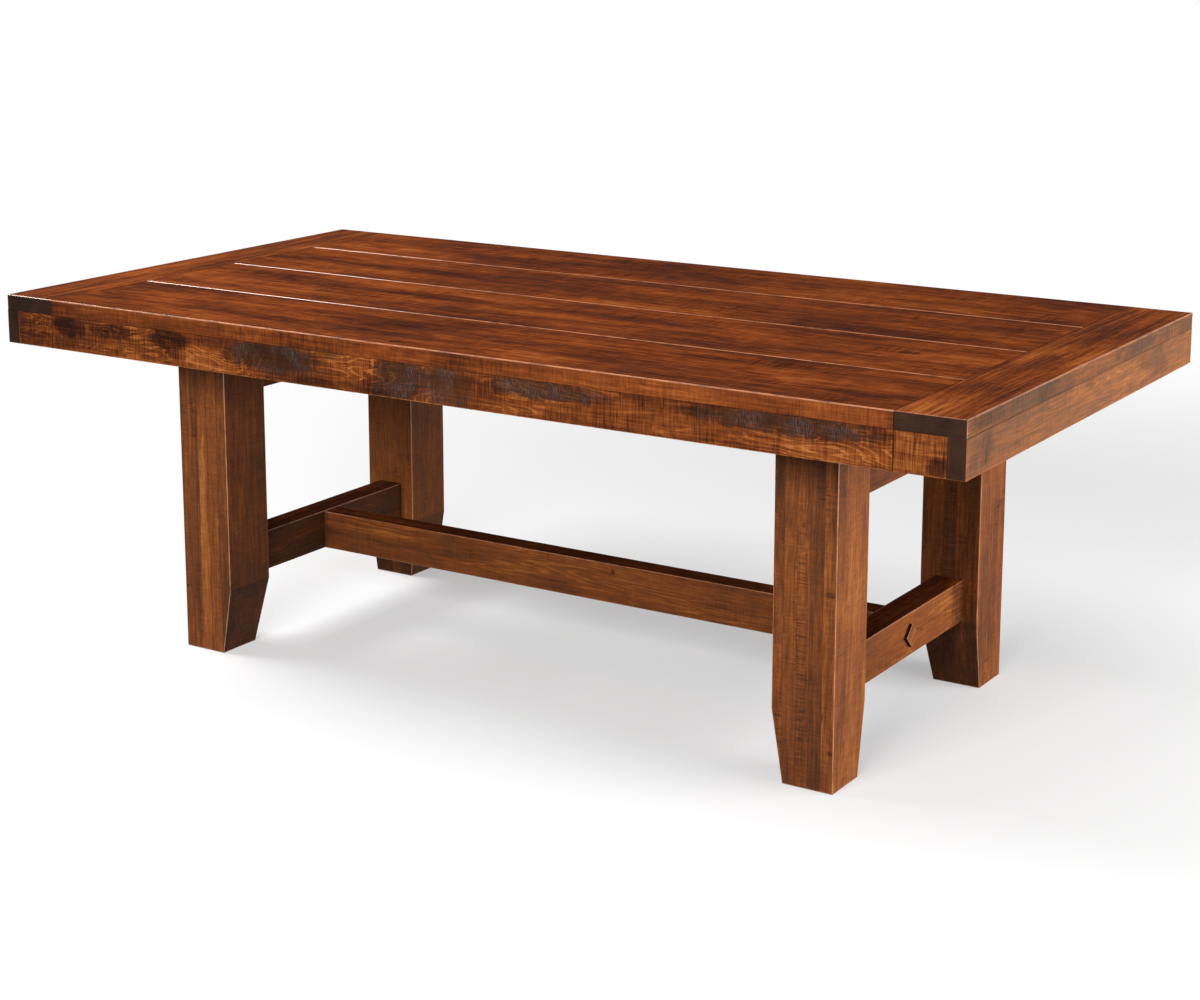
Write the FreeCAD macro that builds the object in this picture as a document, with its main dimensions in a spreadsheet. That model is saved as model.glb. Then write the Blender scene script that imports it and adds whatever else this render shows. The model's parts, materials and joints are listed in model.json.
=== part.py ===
import FreeCAD, Part

import math
import os
import re

import Sketcher
from FreeCAD import Vector

# A farmhouse table. Four planks, tongued together, run into breadboard ends. A skirt deepens the
# edge. Two leg frames carry the top, and a long stretcher ties them together near the floor.
# X is along the table, the front faces -Y, Z is up, and the origin is on the floor at the middle.

# Driving dimensions in millimetres
SIZES = {
    # The whole table
    "table_height": 762,
    "top_length": 2160,
    "end_overhang": 310,
    "side_overhang": 177,
    # Top planks and the joints between them
    "plank_thickness": 32,
    "plank_width": 283,
    "back_plank_width": 269,
    "groove_bevel": 2.5,
    "tongue_thickness": 10,
    "tongue_length": 10,
    "top_edge_radius": 2,
    # Breadboard ends and the tenons that hold them
    "breadboard_width": 128,
    "end_tongue_length": 16,
    "end_tongue_stop": 30,
    "tenon_width": 80,
    "tenon_length": 60,
    "tenon_side_room": 3,
    "peg_diameter": 10,
    "peg_cover": 7,
    "peg_slot_travel": 6,
    # Skirt that deepens the edge of the top
    "skirt_depth": 70,
    "skirt_thickness": 32,
    # Battens under the planks
    "batten_width": 60,
    "batten_thickness": 30,
    "batten_leg_gap": 40,
    "batten_end_gap": 3,
    "batten_bevel": 4,
    # Legs
    "leg_width": 126,
    "leg_edge_bevel": 1.5,
    "foot_taper": 24,
    "foot_taper_height": 140,
    "leg_mortise_depth": 60,
    # End rails
    "rail_thickness": 30,
    "rail_height": 202,
    "rail_setback": 2,
    "rail_tenon_thickness": 12,
    "rail_tenon_shoulder": 14,
    "rail_tenon_gap": 34,
    "rail_edge_bevel": 1,
    # Stretchers
    "stretcher_lift": 144,
    "cross_stretcher_thickness": 62,
    "cross_stretcher_height": 86,
    "long_stretcher_thickness": 53,
    "long_stretcher_height": 84,
    "stretcher_edge_bevel": 1,
    "stretcher_tenon_thickness": 22,
    "stretcher_tenon_shoulder": 13,
    "stub_tenon_thickness": 28,
    "stub_tenon_height": 50,
    "stub_tenon_length": 15,
    # Tie bolts at the ends of the long stretcher, and the caps that hide them
    "tie_bolt_diameter": 10,
    "tie_bolt_head_diameter": 18,
    "tie_bolt_head_height": 5,
    "tie_bolt_socket_flats": 6,
    "tie_bolt_socket_depth": 3,
    "tie_bolt_reach": 60,
    "counterbore_diameter": 24,
    "counterbore_depth": 12,
    "barrel_nut_diameter": 16,
    "barrel_nut_length": 24,
    "barrel_nut_setback": 45,
    "cap_diagonal": 48,
    "cap_proud": 7,
    "cap_bevel": 1,
    # Cleats and the bolts that hold the top down
    "cleat_size": 45,
    "cleat_end_gap": 2,
    "top_bolt_diameter": 8,
    "top_bolt_flats": 13,
    "top_bolt_head_height": 5.5,
    "top_bolt_bite": 22,
    "top_bolt_slot_travel": 6,
    "washer_diameter": 24,
    "washer_thickness": 2,
    # Clearances
    "fit_gap": 0.15,
    "glue_gap": 2,
    "overrun": 5,
}

# Counts, and shares chosen by hand
FULL_PLANKS = 3
top_bolt_share = 0.7
hexagon_corner_share = 1 / math.sqrt(3)

# Ends, sides and bays of the table, as signs along X or Y
ENDS = {"left": -1, "right": 1}
SIDES = {"front": -1, "back": 1}
BAYS = {"left": -1, "middle": 0, "right": 1}
BOTH_WAYS = (-1, 1)

# The top, worked out from the driving dimensions
HALF_LENGTH = "(top_length / 2)"
HALF_WIDTH = f"(({FULL_PLANKS} * plank_width + back_plank_width) / 2)"
TOP_UNDERSIDE = "(table_height - plank_thickness)"
SEAM_X = f"({HALF_LENGTH} - breadboard_width)"
BREADBOARD_X = f"({HALF_LENGTH} - breadboard_width / 2)"
PEG_X = f"({SEAM_X} + tenon_length / 2)"
TONGUE_LOW = "((plank_thickness - tongue_thickness) / 2)"
TONGUE_HIGH = "((plank_thickness + tongue_thickness) / 2)"

# Each plank's name, width and place along Y, from the front
PLANKS = [
    ("front_plank", "plank_width", f"(0.5 * plank_width - {HALF_WIDTH})"),
    ("front_middle_plank", "plank_width", f"(1.5 * plank_width - {HALF_WIDTH})"),
    ("back_middle_plank", "plank_width", f"(2.5 * plank_width - {HALF_WIDTH})"),
    ("back_plank", "back_plank_width", f"({HALF_WIDTH} - back_plank_width / 2)"),
]

# The skirt and the battens
SKIRT_X = f"({HALF_LENGTH} - skirt_thickness / 2)"
SKIRT_Y = f"({HALF_WIDTH} - skirt_thickness / 2)"
CORNER_BLOCK_LENGTH = "(breadboard_width - skirt_thickness)"
CORNER_BLOCK_X = f"({SEAM_X} + {CORNER_BLOCK_LENGTH} / 2)"
BATTEN_LENGTH = f"(2 * ({HALF_WIDTH} - skirt_thickness - batten_end_gap))"

# The leg frames
FRAME_X = f"({HALF_LENGTH} - end_overhang - leg_width / 2)"
LEG_Y = f"({HALF_WIDTH} - side_overhang - leg_width / 2)"
LEG_SPAN = f"(2 * {LEG_Y} - leg_width)"
TENONED_SPAN = f"({LEG_SPAN} + 2 * leg_mortise_depth - 2 * glue_gap)"
BATTEN_PITCH = f"({FRAME_X} - leg_width / 2 - batten_leg_gap - batten_width / 2)"
RAIL_X = f"({FRAME_X} + leg_width / 2 - rail_setback - rail_thickness / 2)"
RAIL_Z = f"({TOP_UNDERSIDE} - rail_height / 2)"
RAIL_TENON_HEIGHT = "((rail_height - 2 * rail_tenon_shoulder - rail_tenon_gap) / 2)"
RAIL_TENON_RISE = f"(({RAIL_TENON_HEIGHT} + rail_tenon_gap) / 2)"
CROSS_Z = "(stretcher_lift + cross_stretcher_height / 2)"
CROSS_TENON_HEIGHT = "(cross_stretcher_height - 2 * stretcher_tenon_shoulder)"
LONG_Z = "(stretcher_lift + long_stretcher_height / 2)"
LONG_SHOULDER_X = f"({FRAME_X} - cross_stretcher_thickness / 2)"
NUT_X = f"({LONG_SHOULDER_X} - barrel_nut_setback)"

# The cleats
CLEAT_X = f"({RAIL_X} - rail_thickness / 2 - cleat_size / 2)"
CLEAT_LENGTH = f"({LEG_SPAN} - 2 * cleat_end_gap)"
TOP_BOLT_Y = f"({top_bolt_share} * {CLEAT_LENGTH} / 2)"
TOP_BOLT_CENTRES = [("0", f"{way} * {TOP_BOLT_Y}") for way in BOTH_WAYS]

# The plane square to each axis, and the way its normal points along that axis
PLANES = {"x": ("YZ_Plane", 1), "y": ("XZ_Plane", -1), "z": ("XY_Plane", 1)}

# How near two places must be to count as one
match_tolerance = 1e-6

document = FreeCAD.newDocument("farmhouse_table")
sheet = document.addObject("Spreadsheet::Sheet", "sizes")
pieces = []


def fill_sheet():
    """One row for each driving dimension: its name, and its value under an alias."""
    for row, (name, value) in enumerate(SIZES.items(), start=1):
        sheet.set(f"A{row}", name)
        sheet.set(f"B{row}", str(value))
        sheet.setAlias(f"B{row}", name)
    document.recompute()


def cells(text):
    """The expression in which each name stands for its cell in the sheet."""
    return re.sub(r"[a-z]\w*", lambda name: "sizes." + name.group(), text)


def number(text):
    """The present value of an expression."""
    return float(sheet.evalExpression(cells(text)))


def point(place):
    """A point of a sketch, from its two expressions."""
    return Vector(number(place[0]), number(place[1]), 0)


def pin(sketch, curve, which, place):
    """Holds a point of a curve at its place, measured from the sketch's origin."""
    for kind, text in zip(("DistanceX", "DistanceY"), place):
        held = sketch.addConstraint(Sketcher.Constraint(kind, -1, 1, curve, which, number(text)))
        sketch.setExpression(f"Constraints[{held}]", cells(text))


def draw_polygon(sketch, corners):
    """A closed outline of straight edges."""
    first = sketch.GeometryCount
    for start, end in zip(corners, corners[1:] + corners[:1]):
        sketch.addGeometry(Part.LineSegment(point(start), point(end)), False)
    edges = list(range(first, sketch.GeometryCount))
    for edge, following in zip(edges, edges[1:] + edges[:1]):
        sketch.addConstraint(Sketcher.Constraint("Coincident", edge, 2, following, 1))
    for edge, corner in zip(edges, corners):
        pin(sketch, edge, 1, corner)


def draw_rectangle(sketch, centre, size):
    """A rectangle about its centre."""
    across, along = centre
    width, height = size
    west, east = f"{across} - {width} / 2", f"{across} + {width} / 2"
    south, north = f"{along} - {height} / 2", f"{along} + {height} / 2"
    draw_polygon(sketch, [(west, south), (east, south), (east, north), (west, north)])


def hold_diameter(sketch, curve, diameter):
    """Keeps a circle or an arc at its diameter."""
    held = sketch.addConstraint(Sketcher.Constraint("Diameter", curve, number(diameter)))
    sketch.setExpression(f"Constraints[{held}]", cells(diameter))


def draw_circle(sketch, centre, diameter):
    """A circle about its centre."""
    circle = Part.Circle(point(centre), Vector(0, 0, 1), number(diameter) / 2)
    curve = sketch.addGeometry(circle, False)
    hold_diameter(sketch, curve, diameter)
    pin(sketch, curve, 3, centre)


def draw_slot(sketch, centre, travel, width):
    """A slot with round ends, long in the sketch's second direction."""
    across, along = centre
    south, north = (across, f"{along} - {travel} / 2"), (across, f"{along} + {travel} / 2")
    radius = number(width) / 2
    side = Vector(radius, 0, 0)
    towards_viewer = Vector(0, 0, 1)
    first = sketch.GeometryCount
    for curve in (
        Part.ArcOfCircle(Part.Circle(point(south), towards_viewer, radius), math.pi, 2 * math.pi),
        Part.LineSegment(point(south) + side, point(north) + side),
        Part.ArcOfCircle(Part.Circle(point(north), towards_viewer, radius), 0, math.pi),
        Part.LineSegment(point(north) - side, point(south) - side),
    ):
        sketch.addGeometry(curve, False)
    curves = list(range(first, sketch.GeometryCount))
    for curve, following in zip(curves, curves[1:] + curves[:1]):
        sketch.addConstraint(Sketcher.Constraint("Tangent", curve, 2, following, 1))
    for arc, middle in ((curves[0], south), (curves[2], north)):
        hold_diameter(sketch, arc, width)
        pin(sketch, arc, 3, middle)


class Piece:
    """One piece, built as for the right end. One for the left end is turned half round."""

    def __init__(self, label, place, end="right"):
        self.body = document.addObject("PartDesign::Body", label)
        self.body.Label = label
        self.body.AllowCompound = True
        self.origin = {feature.Role: feature for feature in self.body.Origin.OriginFeatures}
        if end == "left":
            self.body.Placement = FreeCAD.Placement(Vector(), Vector(0, 0, 1), 180)
        signs = (ENDS[end], ENDS[end], 1)
        for axis, sign, text in zip("xyz", signs, place):
            self.body.setExpression(f"Placement.Base.{axis}", cells(f"{sign} * ({text})"))
        pieces.append(self.body)

    def sketch(self, normal, level):
        """An empty sketch square to an axis, at a level along it."""
        plane, way = PLANES[normal]
        sketch = self.body.newObject("Sketcher::SketchObject", "outline")
        sketch.AttachmentSupport = [(self.origin[plane], "")]
        sketch.MapMode = "FlatFace"
        sketch.setExpression("AttachmentOffset.Base.z", cells(f"{way} * ({level})"))
        return sketch

    def extrude(self, kind, sketch, length):
        """A pad or a pocket that reaches as far to both sides of its sketch."""
        feature = self.body.newObject(f"PartDesign::{kind}", kind.lower())
        feature.Profile = sketch
        feature.SideType = "Symmetric"
        feature.setExpression("Length", cells(length))

    def box(self, kind, centre, size):
        """A rectangular block or recess about its centre."""
        sketch = self.sketch("z", centre[2])
        draw_rectangle(sketch, centre[:2], size[:2])
        self.extrude(kind, sketch, size[2])

    def prism(self, kind, normal, outlines, low, high):
        """Straight-edged outlines, run along the axis square to them."""
        sketch = self.sketch(normal, f"({low} + {high}) / 2")
        for corners in outlines:
            draw_polygon(sketch, corners)
        self.extrude(kind, sketch, f"{high} - ({low})")

    def rounds(self, kind, normal, centres, diameter, low, high, bore=None):
        """Round pins or holes along an axis, or rings where a bore is given."""
        sketch = self.sketch(normal, f"({low} + {high}) / 2")
        for centre in centres:
            draw_circle(sketch, centre, diameter)
            if bore:
                draw_circle(sketch, centre, bore)
        self.extrude(kind, sketch, f"{high} - ({low})")

    def slots(self, centres, travel, width, low, high):
        """Upright slots, long across the table, so that the wood can move."""
        sketch = self.sketch("z", f"({low} + {high}) / 2")
        for centre in centres:
            draw_slot(sketch, centre, travel, width)
        self.extrude("Pocket", sketch, f"{high} - ({low})")

    def turn_about_x(self, corners):
        """A profile drawn in the XZ plane and turned about the X axis."""
        sketch = self.sketch("y", "0")
        draw_polygon(sketch, corners)
        feature = self.body.newObject("PartDesign::Revolution", "revolution")
        feature.Profile = sketch
        feature.ReferenceAxis = (sketch, ["H_Axis"])
        feature.Angle = 360

    def soften(self, kind, property_name, size, wanted):
        """Rounds or bevels the edges that a test picks."""
        document.recompute()
        solid = self.body.Tip
        names = [f"Edge{index}" for index, edge in enumerate(solid.Shape.Edges, start=1)
                 if wanted(edge)]
        feature = self.body.newObject(f"PartDesign::{kind}", kind.lower())
        feature.Base = (solid, names)
        feature.setExpression(property_name, cells(size))

    def round_edges(self, radius, wanted):
        """Rounds the edges that a test picks."""
        self.soften("Fillet", "Radius", radius, wanted)

    def bevel_edges(self, size, wanted):
        """Planes a bevel on the edges that a test picks."""
        self.soften("Chamfer", "Size", size, wanted)


def lies_at(edge, axis, place):
    """Whether both ends of an edge lie at one place along an axis."""
    level = number(place)
    return all(abs(getattr(vertex.Point, axis) - level) < match_tolerance
               for vertex in edge.Vertexes)


def runs_along(edge, axis):
    """Whether an edge runs mostly along an axis."""
    start, end = (vertex.Point for vertex in edge.Vertexes)
    run = end - start
    return abs(getattr(run, axis)) > run.Length / 2


def with_clearance(size):
    """The width of a hole or a slot for something of this width."""
    return f"({size} + 2 * fit_gap)"


def plank_section(width, joined_in_front, joined_behind):
    """The section of a plank, with a groove in front and a tongue behind where it is joined."""
    front, back = f"-{width} / 2", f"{width} / 2"
    corners = [(front, "0"), (back, "0")]
    if joined_behind:
        corners += [
            (back, TONGUE_LOW),
            (f"{back} + tongue_length", TONGUE_LOW),
            (f"{back} + tongue_length", TONGUE_HIGH),
            (back, TONGUE_HIGH),
            (back, "plank_thickness - groove_bevel"),
            (f"{back} - groove_bevel", "plank_thickness"),
        ]
    else:
        corners += [(back, "plank_thickness")]
    if joined_in_front:
        bed = f"{front} + tongue_length + fit_gap"
        corners += [
            (f"{front} + groove_bevel", "plank_thickness"),
            (front, "plank_thickness - groove_bevel"),
            (front, f"{TONGUE_HIGH} + fit_gap"),
            (bed, f"{TONGUE_HIGH} + fit_gap"),
            (bed, f"{TONGUE_LOW} - fit_gap"),
            (front, f"{TONGUE_LOW} - fit_gap"),
        ]
    else:
        corners += [(front, "plank_thickness")]
    return corners


def cut_plank_ends(plank, width):
    """Cuts both ends of a plank down to a tongue, and the tongue back to one tenon."""
    cut = "(tenon_length + overrun)"
    shoulders = plank.sketch("y", "0")
    for end in BOTH_WAYS:
        middle = f"{end} * ({SEAM_X} + {cut} / 2)"
        for low, high in (("(-overrun)", TONGUE_LOW),
                          (TONGUE_HIGH, "(plank_thickness + overrun)")):
            draw_rectangle(shoulders, (middle, f"({low} + {high}) / 2"),
                           (cut, f"({high} - {low})"))
    plank.extrude("Pocket", shoulders, f"{width} + 2 * tongue_length + 2 * overrun")

    bared = "(tenon_length - end_tongue_length + overrun)"
    haunch = f"({width} / 2 + tongue_length + overrun - tenon_width / 2)"
    haunches = plank.sketch("z", "plank_thickness / 2")
    for end in BOTH_WAYS:
        middle = f"{end} * ({SEAM_X} + end_tongue_length + {bared} / 2)"
        for way in BOTH_WAYS:
            draw_rectangle(haunches, (middle, f"{way} * (tenon_width + {haunch}) / 2"),
                           (bared, haunch))
    plank.extrude("Pocket", haunches, "plank_thickness")


def stop_end_tongue(plank, width, side):
    """Stops the end tongue short of the open edge, so that the joint does not show there."""
    stop = "(end_tongue_stop + overrun)"
    reach = "(end_tongue_length + overrun)"
    sketch = plank.sketch("z", "plank_thickness / 2")
    for end in BOTH_WAYS:
        draw_rectangle(sketch, (f"{end} * ({SEAM_X} + {reach} / 2)",
                                f"{side} * ({width} / 2 + overrun - {stop} / 2)"),
                       (reach, stop))
    plank.extrude("Pocket", sketch, "plank_thickness")


def make_plank(index):
    """One plank of the top, tongued to its neighbours and tenoned into the breadboard ends."""
    label, width, place = PLANKS[index]
    first, last = index == 0, index == len(PLANKS) - 1
    side = SIDES["front"] if index < len(PLANKS) / 2 else SIDES["back"]
    plank = Piece(label, ("0", place, TOP_UNDERSIDE))
    reach = f"({SEAM_X} + tenon_length)"
    plank.prism("Pad", "x", [plank_section(width, not first, not last)], f"(-{reach})", reach)
    if first or last:
        open_edge = f"{side} * {width} / 2"
        plank.round_edges("top_edge_radius", lambda edge: lies_at(edge, "y", open_edge)
                          and lies_at(edge, "z", "plank_thickness"))
    cut_plank_ends(plank, width)
    if first or last:
        stop_end_tongue(plank, width, side)
    plank.slots([(f"{end} * {PEG_X}", "0") for end in BOTH_WAYS], "peg_slot_travel",
                with_clearance("peg_diameter"), "0", "plank_thickness")
    if not first and not last:
        bolts = [(f"{end} * {CLEAT_X}", f"{side} * {TOP_BOLT_Y} - {place}") for end in BOTH_WAYS]
        plank.rounds("Pocket", "z", bolts, with_clearance("top_bolt_diameter"),
                     "(-overrun)", "top_bolt_bite")


def make_breadboard_end(end):
    """A board across the ends of the planks, grooved and mortised for their tenons."""
    board = Piece(f"{end}_breadboard_end", (BREADBOARD_X, "0", TOP_UNDERSIDE), end)
    middle = "plank_thickness / 2"
    board.box("Pad", ("0", "0", middle),
              ("breadboard_width", f"2 * {HALF_WIDTH}", "plank_thickness"))
    board.round_edges("top_edge_radius", lambda edge: lies_at(edge, "z", "plank_thickness")
                      and not lies_at(edge, "x", "-breadboard_width / 2"))

    def cut_from_seam(across, depth, width):
        board.box("Pocket", (f"({depth} - overrun - breadboard_width) / 2", across, middle),
                  (f"({depth} + overrun)", width, with_clearance("tongue_thickness")))

    cut_from_seam("0", "(end_tongue_length + fit_gap)",
                  f"(2 * ({HALF_WIDTH} - end_tongue_stop + fit_gap))")
    tenons = [f"{ENDS[end]} * {place}" for _, _, place in PLANKS]
    for across in tenons:
        cut_from_seam(across, "(tenon_length + glue_gap)",
                      "(tenon_width + 2 * tenon_side_room)")
    pegs = [(f"{PEG_X} - {BREADBOARD_X}", across) for across in tenons]
    board.rounds("Pocket", "z", pegs, with_clearance("peg_diameter"),
                 "(-overrun)", "(plank_thickness - peg_cover)")


def make_breadboard_pegs(end):
    """Pegs up through the tenons, stopped below the face of the top."""
    pegs = Piece(f"{end}_breadboard_pegs", (PEG_X, "0", TOP_UNDERSIDE), end)
    centres = [("0", f"{ENDS[end]} * {place}") for _, _, place in PLANKS]
    pegs.rounds("Pad", "z", centres, "peg_diameter", "0", "(plank_thickness - peg_cover)")


def make_skirt_board(label, place, length, thickness, end="right"):
    """A board on edge under the top, glued to it along its upper edge."""
    board = Piece(label, (*place, f"{TOP_UNDERSIDE} - skirt_depth"), end)
    board.box("Pad", ("0", "0", "skirt_depth / 2"), (length, thickness, "skirt_depth"))


def make_skirt():
    """The boards that make the edge of the top look thick."""
    for side, way in SIDES.items():
        make_skirt_board(f"{side}_skirt", ("0", f"{way} * {SKIRT_Y}"),
                         f"(2 * {SEAM_X})", "skirt_thickness")
    for end, turn in ENDS.items():
        make_skirt_board(f"{end}_end_skirt", (SKIRT_X, "0"),
                         "skirt_thickness", f"(2 * {HALF_WIDTH})", end)
        for side, way in SIDES.items():
            make_skirt_board(f"{side}_{end}_corner_block",
                             (CORNER_BLOCK_X, f"{way * turn} * {SKIRT_Y}"),
                             CORNER_BLOCK_LENGTH, "skirt_thickness", end)


def make_batten(bay):
    """A batten across the underside of the planks, bevelled along its lower edges."""
    batten = Piece(f"{bay}_batten", (f"{BAYS[bay]} * {BATTEN_PITCH}", "0",
                                     f"{TOP_UNDERSIDE} - batten_thickness"))
    batten.box("Pad", ("0", "0", "batten_thickness / 2"),
               ("batten_width", BATTEN_LENGTH, "batten_thickness"))
    batten.bevel_edges("batten_bevel", lambda edge: lies_at(edge, "z", "0"))


def make_leg(side, end):
    """A square leg, tapered on its two inner faces at the foot, with its mortises."""
    way = SIDES[side] * ENDS[end]
    half = "(leg_width / 2)"
    leg = Piece(f"{side}_{end}_leg", (FRAME_X, f"{way} * {LEG_Y}", "0"), end)
    leg.prism("Pad", "y", [[
        (f"foot_taper - {half}", "0"),
        (half, "0"),
        (half, TOP_UNDERSIDE),
        (f"-{half}", TOP_UNDERSIDE),
        (f"-{half}", "foot_taper_height"),
    ]], f"(-{half})", half)
    tapered = f"{-way} * ({half} - foot_taper)"
    clear = f"{-way} * ({half} + overrun)"
    leg.prism("Pocket", "x", [[
        (f"{-way} * {half}", "foot_taper_height"),
        (tapered, "0"),
        (tapered, "-overrun"),
        (clear, "-overrun"),
        (clear, "foot_taper_height"),
    ]], f"(-{half} - overrun)", f"({half} + overrun)")
    leg.bevel_edges("leg_edge_bevel", lambda edge: runs_along(edge, "z"))

    def cut_mortise(along, height, thickness, rise):
        across = f"{-way} * ({half} + overrun / 2 - leg_mortise_depth / 2)"
        leg.box("Pocket", (along, across, height),
                (with_clearance(thickness), "(leg_mortise_depth + overrun)",
                 with_clearance(rise)))

    cut_mortise("0", CROSS_Z, "stretcher_tenon_thickness", CROSS_TENON_HEIGHT)
    for step in BOTH_WAYS:
        cut_mortise(f"{RAIL_X} - {FRAME_X}", f"{RAIL_Z} + {step} * {RAIL_TENON_RISE}",
                    "rail_tenon_thickness", RAIL_TENON_HEIGHT)


def make_end_rail(end):
    """A rail high between two legs, with a pair of tenons at each end."""
    rail = Piece(f"{end}_end_rail", (RAIL_X, "0", RAIL_Z), end)
    rail.box("Pad", ("0", "0", "0"), ("rail_thickness", LEG_SPAN, "rail_height"))
    rail.bevel_edges("rail_edge_bevel", lambda edge: runs_along(edge, "y")
                     and lies_at(edge, "z", "-rail_height / 2"))
    for step in BOTH_WAYS:
        rail.box("Pad", ("0", "0", f"{step} * {RAIL_TENON_RISE}"),
                 ("rail_tenon_thickness", TENONED_SPAN, RAIL_TENON_HEIGHT))


def make_cross_stretcher(end):
    """A stretcher between two feet, mortised and bored for the end of the long stretcher."""
    stretcher = Piece(f"{end}_cross_stretcher", (FRAME_X, "0", CROSS_Z), end)
    half = "(cross_stretcher_thickness / 2)"
    rise = f"{LONG_Z} - {CROSS_Z}"
    stretcher.box("Pad", ("0", "0", "0"),
                  ("cross_stretcher_thickness", LEG_SPAN, "cross_stretcher_height"))
    stretcher.bevel_edges("stretcher_edge_bevel", lambda edge: runs_along(edge, "y"))
    stretcher.box("Pad", ("0", "0", "0"),
                  ("stretcher_tenon_thickness", TENONED_SPAN, CROSS_TENON_HEIGHT))
    stretcher.box("Pocket", (f"(stub_tenon_length + fit_gap - overrun) / 2 - {half}", "0", rise),
                  ("(stub_tenon_length + fit_gap + overrun)",
                   with_clearance("stub_tenon_thickness"), with_clearance("stub_tenon_height")))
    stretcher.rounds("Pocket", "x", [("0", rise)], with_clearance("tie_bolt_diameter"),
                     f"(-{half})", half)
    stretcher.rounds("Pocket", "x", [("0", rise)], "counterbore_diameter",
                     f"({half} - counterbore_depth)", f"({half} + overrun)")


def make_long_stretcher():
    """The stretcher along the table, with a stub tenon and a bolt hole at each end."""
    stretcher = Piece("long_stretcher", ("0", "0", LONG_Z))
    stretcher.box("Pad", ("0", "0", "0"),
                  (f"(2 * {LONG_SHOULDER_X})", "long_stretcher_thickness",
                   "long_stretcher_height"))
    stretcher.bevel_edges("stretcher_edge_bevel", lambda edge: runs_along(edge, "x"))
    stretcher.box("Pad", ("0", "0", "0"),
                  (f"(2 * ({LONG_SHOULDER_X} + stub_tenon_length))", "stub_tenon_thickness",
                   "stub_tenon_height"))
    outer = f"({LONG_SHOULDER_X} + stub_tenon_length + overrun)"
    inner = f"({LONG_SHOULDER_X} - tie_bolt_reach)"
    for low, high in ((inner, outer), (f"(-{outer})", f"(-{inner})")):
        stretcher.rounds("Pocket", "x", [("0", "0")], with_clearance("tie_bolt_diameter"),
                         low, high)
    nuts = [(f"{end} * {NUT_X}", "0") for end in BOTH_WAYS]
    stretcher.rounds("Pocket", "z", nuts, with_clearance("barrel_nut_diameter"),
                     "(-long_stretcher_height / 2 - overrun)", "(barrel_nut_length / 2)")


def hexagon(centre, flats):
    """The corners of a hexagon with two flats across the second direction."""
    across, along = centre
    corner = f"{flats} * {hexagon_corner_share}"
    shifts = [("1", "0"), ("0.5", "0.5"), ("-0.5", "0.5"),
              ("-1", "0"), ("-0.5", "-0.5"), ("0.5", "-0.5")]
    return [(f"{across} + {corner_shift} * {corner}", f"{along} + {flat_shift} * {flats}")
            for corner_shift, flat_shift in shifts]


def make_tie(end):
    """The bolt that draws a leg frame on to the long stretcher, its nut and its cap."""
    half = "(cross_stretcher_thickness / 2)"
    seat = f"({half} - counterbore_depth)"
    head = f"({seat} + tie_bolt_head_height)"
    tip = f"(-{half} - tie_bolt_reach)"
    bolt = Piece(f"{end}_tie_bolt", (FRAME_X, "0", LONG_Z), end)
    bolt.turn_about_x([
        (tip, "0"),
        (head, "0"),
        (head, "tie_bolt_head_diameter / 2"),
        (seat, "tie_bolt_head_diameter / 2"),
        (seat, "tie_bolt_diameter / 2"),
        (tip, "tie_bolt_diameter / 2"),
    ])
    bolt.prism("Pocket", "x", [hexagon(("0", "0"), "tie_bolt_socket_flats")],
               f"({head} - tie_bolt_socket_depth)", f"({head} + overrun)")

    nut = Piece(f"{end}_barrel_nut", (NUT_X, "0", LONG_Z), end)
    nut.rounds("Pad", "z", [("0", "0")], "barrel_nut_diameter",
               "(-barrel_nut_length / 2)", "(barrel_nut_length / 2)")
    nut.rounds("Pocket", "x", [("0", "0")], with_clearance("tie_bolt_diameter"),
               "(-barrel_nut_diameter)", "barrel_nut_diameter")

    cap = Piece(f"{end}_bolt_cap", (f"{FRAME_X} + {half}", "0", LONG_Z), end)
    corner = "cap_diagonal / 2"
    diamond = [(corner, "0"), ("0", corner), (f"-{corner}", "0"), ("0", f"-{corner}")]
    cap.prism("Pad", "x", [diamond], "0", "cap_proud")
    cap.bevel_edges("cap_bevel", lambda edge: lies_at(edge, "x", "cap_proud"))


def make_cleat(end):
    """The cleat glued inside an end rail, slotted so that the top can move on its bolts."""
    cleat = Piece(f"{end}_cleat", (CLEAT_X, "0", f"{TOP_UNDERSIDE} - cleat_size"), end)
    cleat.box("Pad", ("0", "0", "cleat_size / 2"), ("cleat_size", CLEAT_LENGTH, "cleat_size"))
    cleat.slots(TOP_BOLT_CENTRES, "top_bolt_slot_travel", with_clearance("top_bolt_diameter"),
                "0", "cleat_size")


def make_top_bolts(end):
    """Bolts up through a cleat into the planks, with their washers."""
    place = (CLEAT_X, "0", f"{TOP_UNDERSIDE} - cleat_size")
    washers = Piece(f"{end}_washers", place, end)
    washers.rounds("Pad", "z", TOP_BOLT_CENTRES, "washer_diameter", "(-washer_thickness)", "0",
                   bore=with_clearance("top_bolt_diameter"))
    bolts = Piece(f"{end}_top_bolts", place, end)
    head = "(-washer_thickness - top_bolt_head_height)"
    bolts.prism("Pad", "z", [hexagon(centre, "top_bolt_flats") for centre in TOP_BOLT_CENTRES],
                head, "(-washer_thickness)")
    bolts.rounds("Pad", "z", TOP_BOLT_CENTRES, "top_bolt_diameter",
                 "(-washer_thickness)", "(cleat_size + top_bolt_bite)")


def make_table():
    """Every piece of the table."""
    for index in range(len(PLANKS)):
        make_plank(index)
    make_skirt()
    for bay in BAYS:
        make_batten(bay)
    for end in ENDS:
        make_breadboard_end(end)
        make_breadboard_pegs(end)
        for side in SIDES:
            make_leg(side, end)
        make_end_rail(end)
        make_cross_stretcher(end)
        make_tie(end)
        make_cleat(end)
        make_top_bolts(end)
    make_long_stretcher()
    document.recompute()


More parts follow.
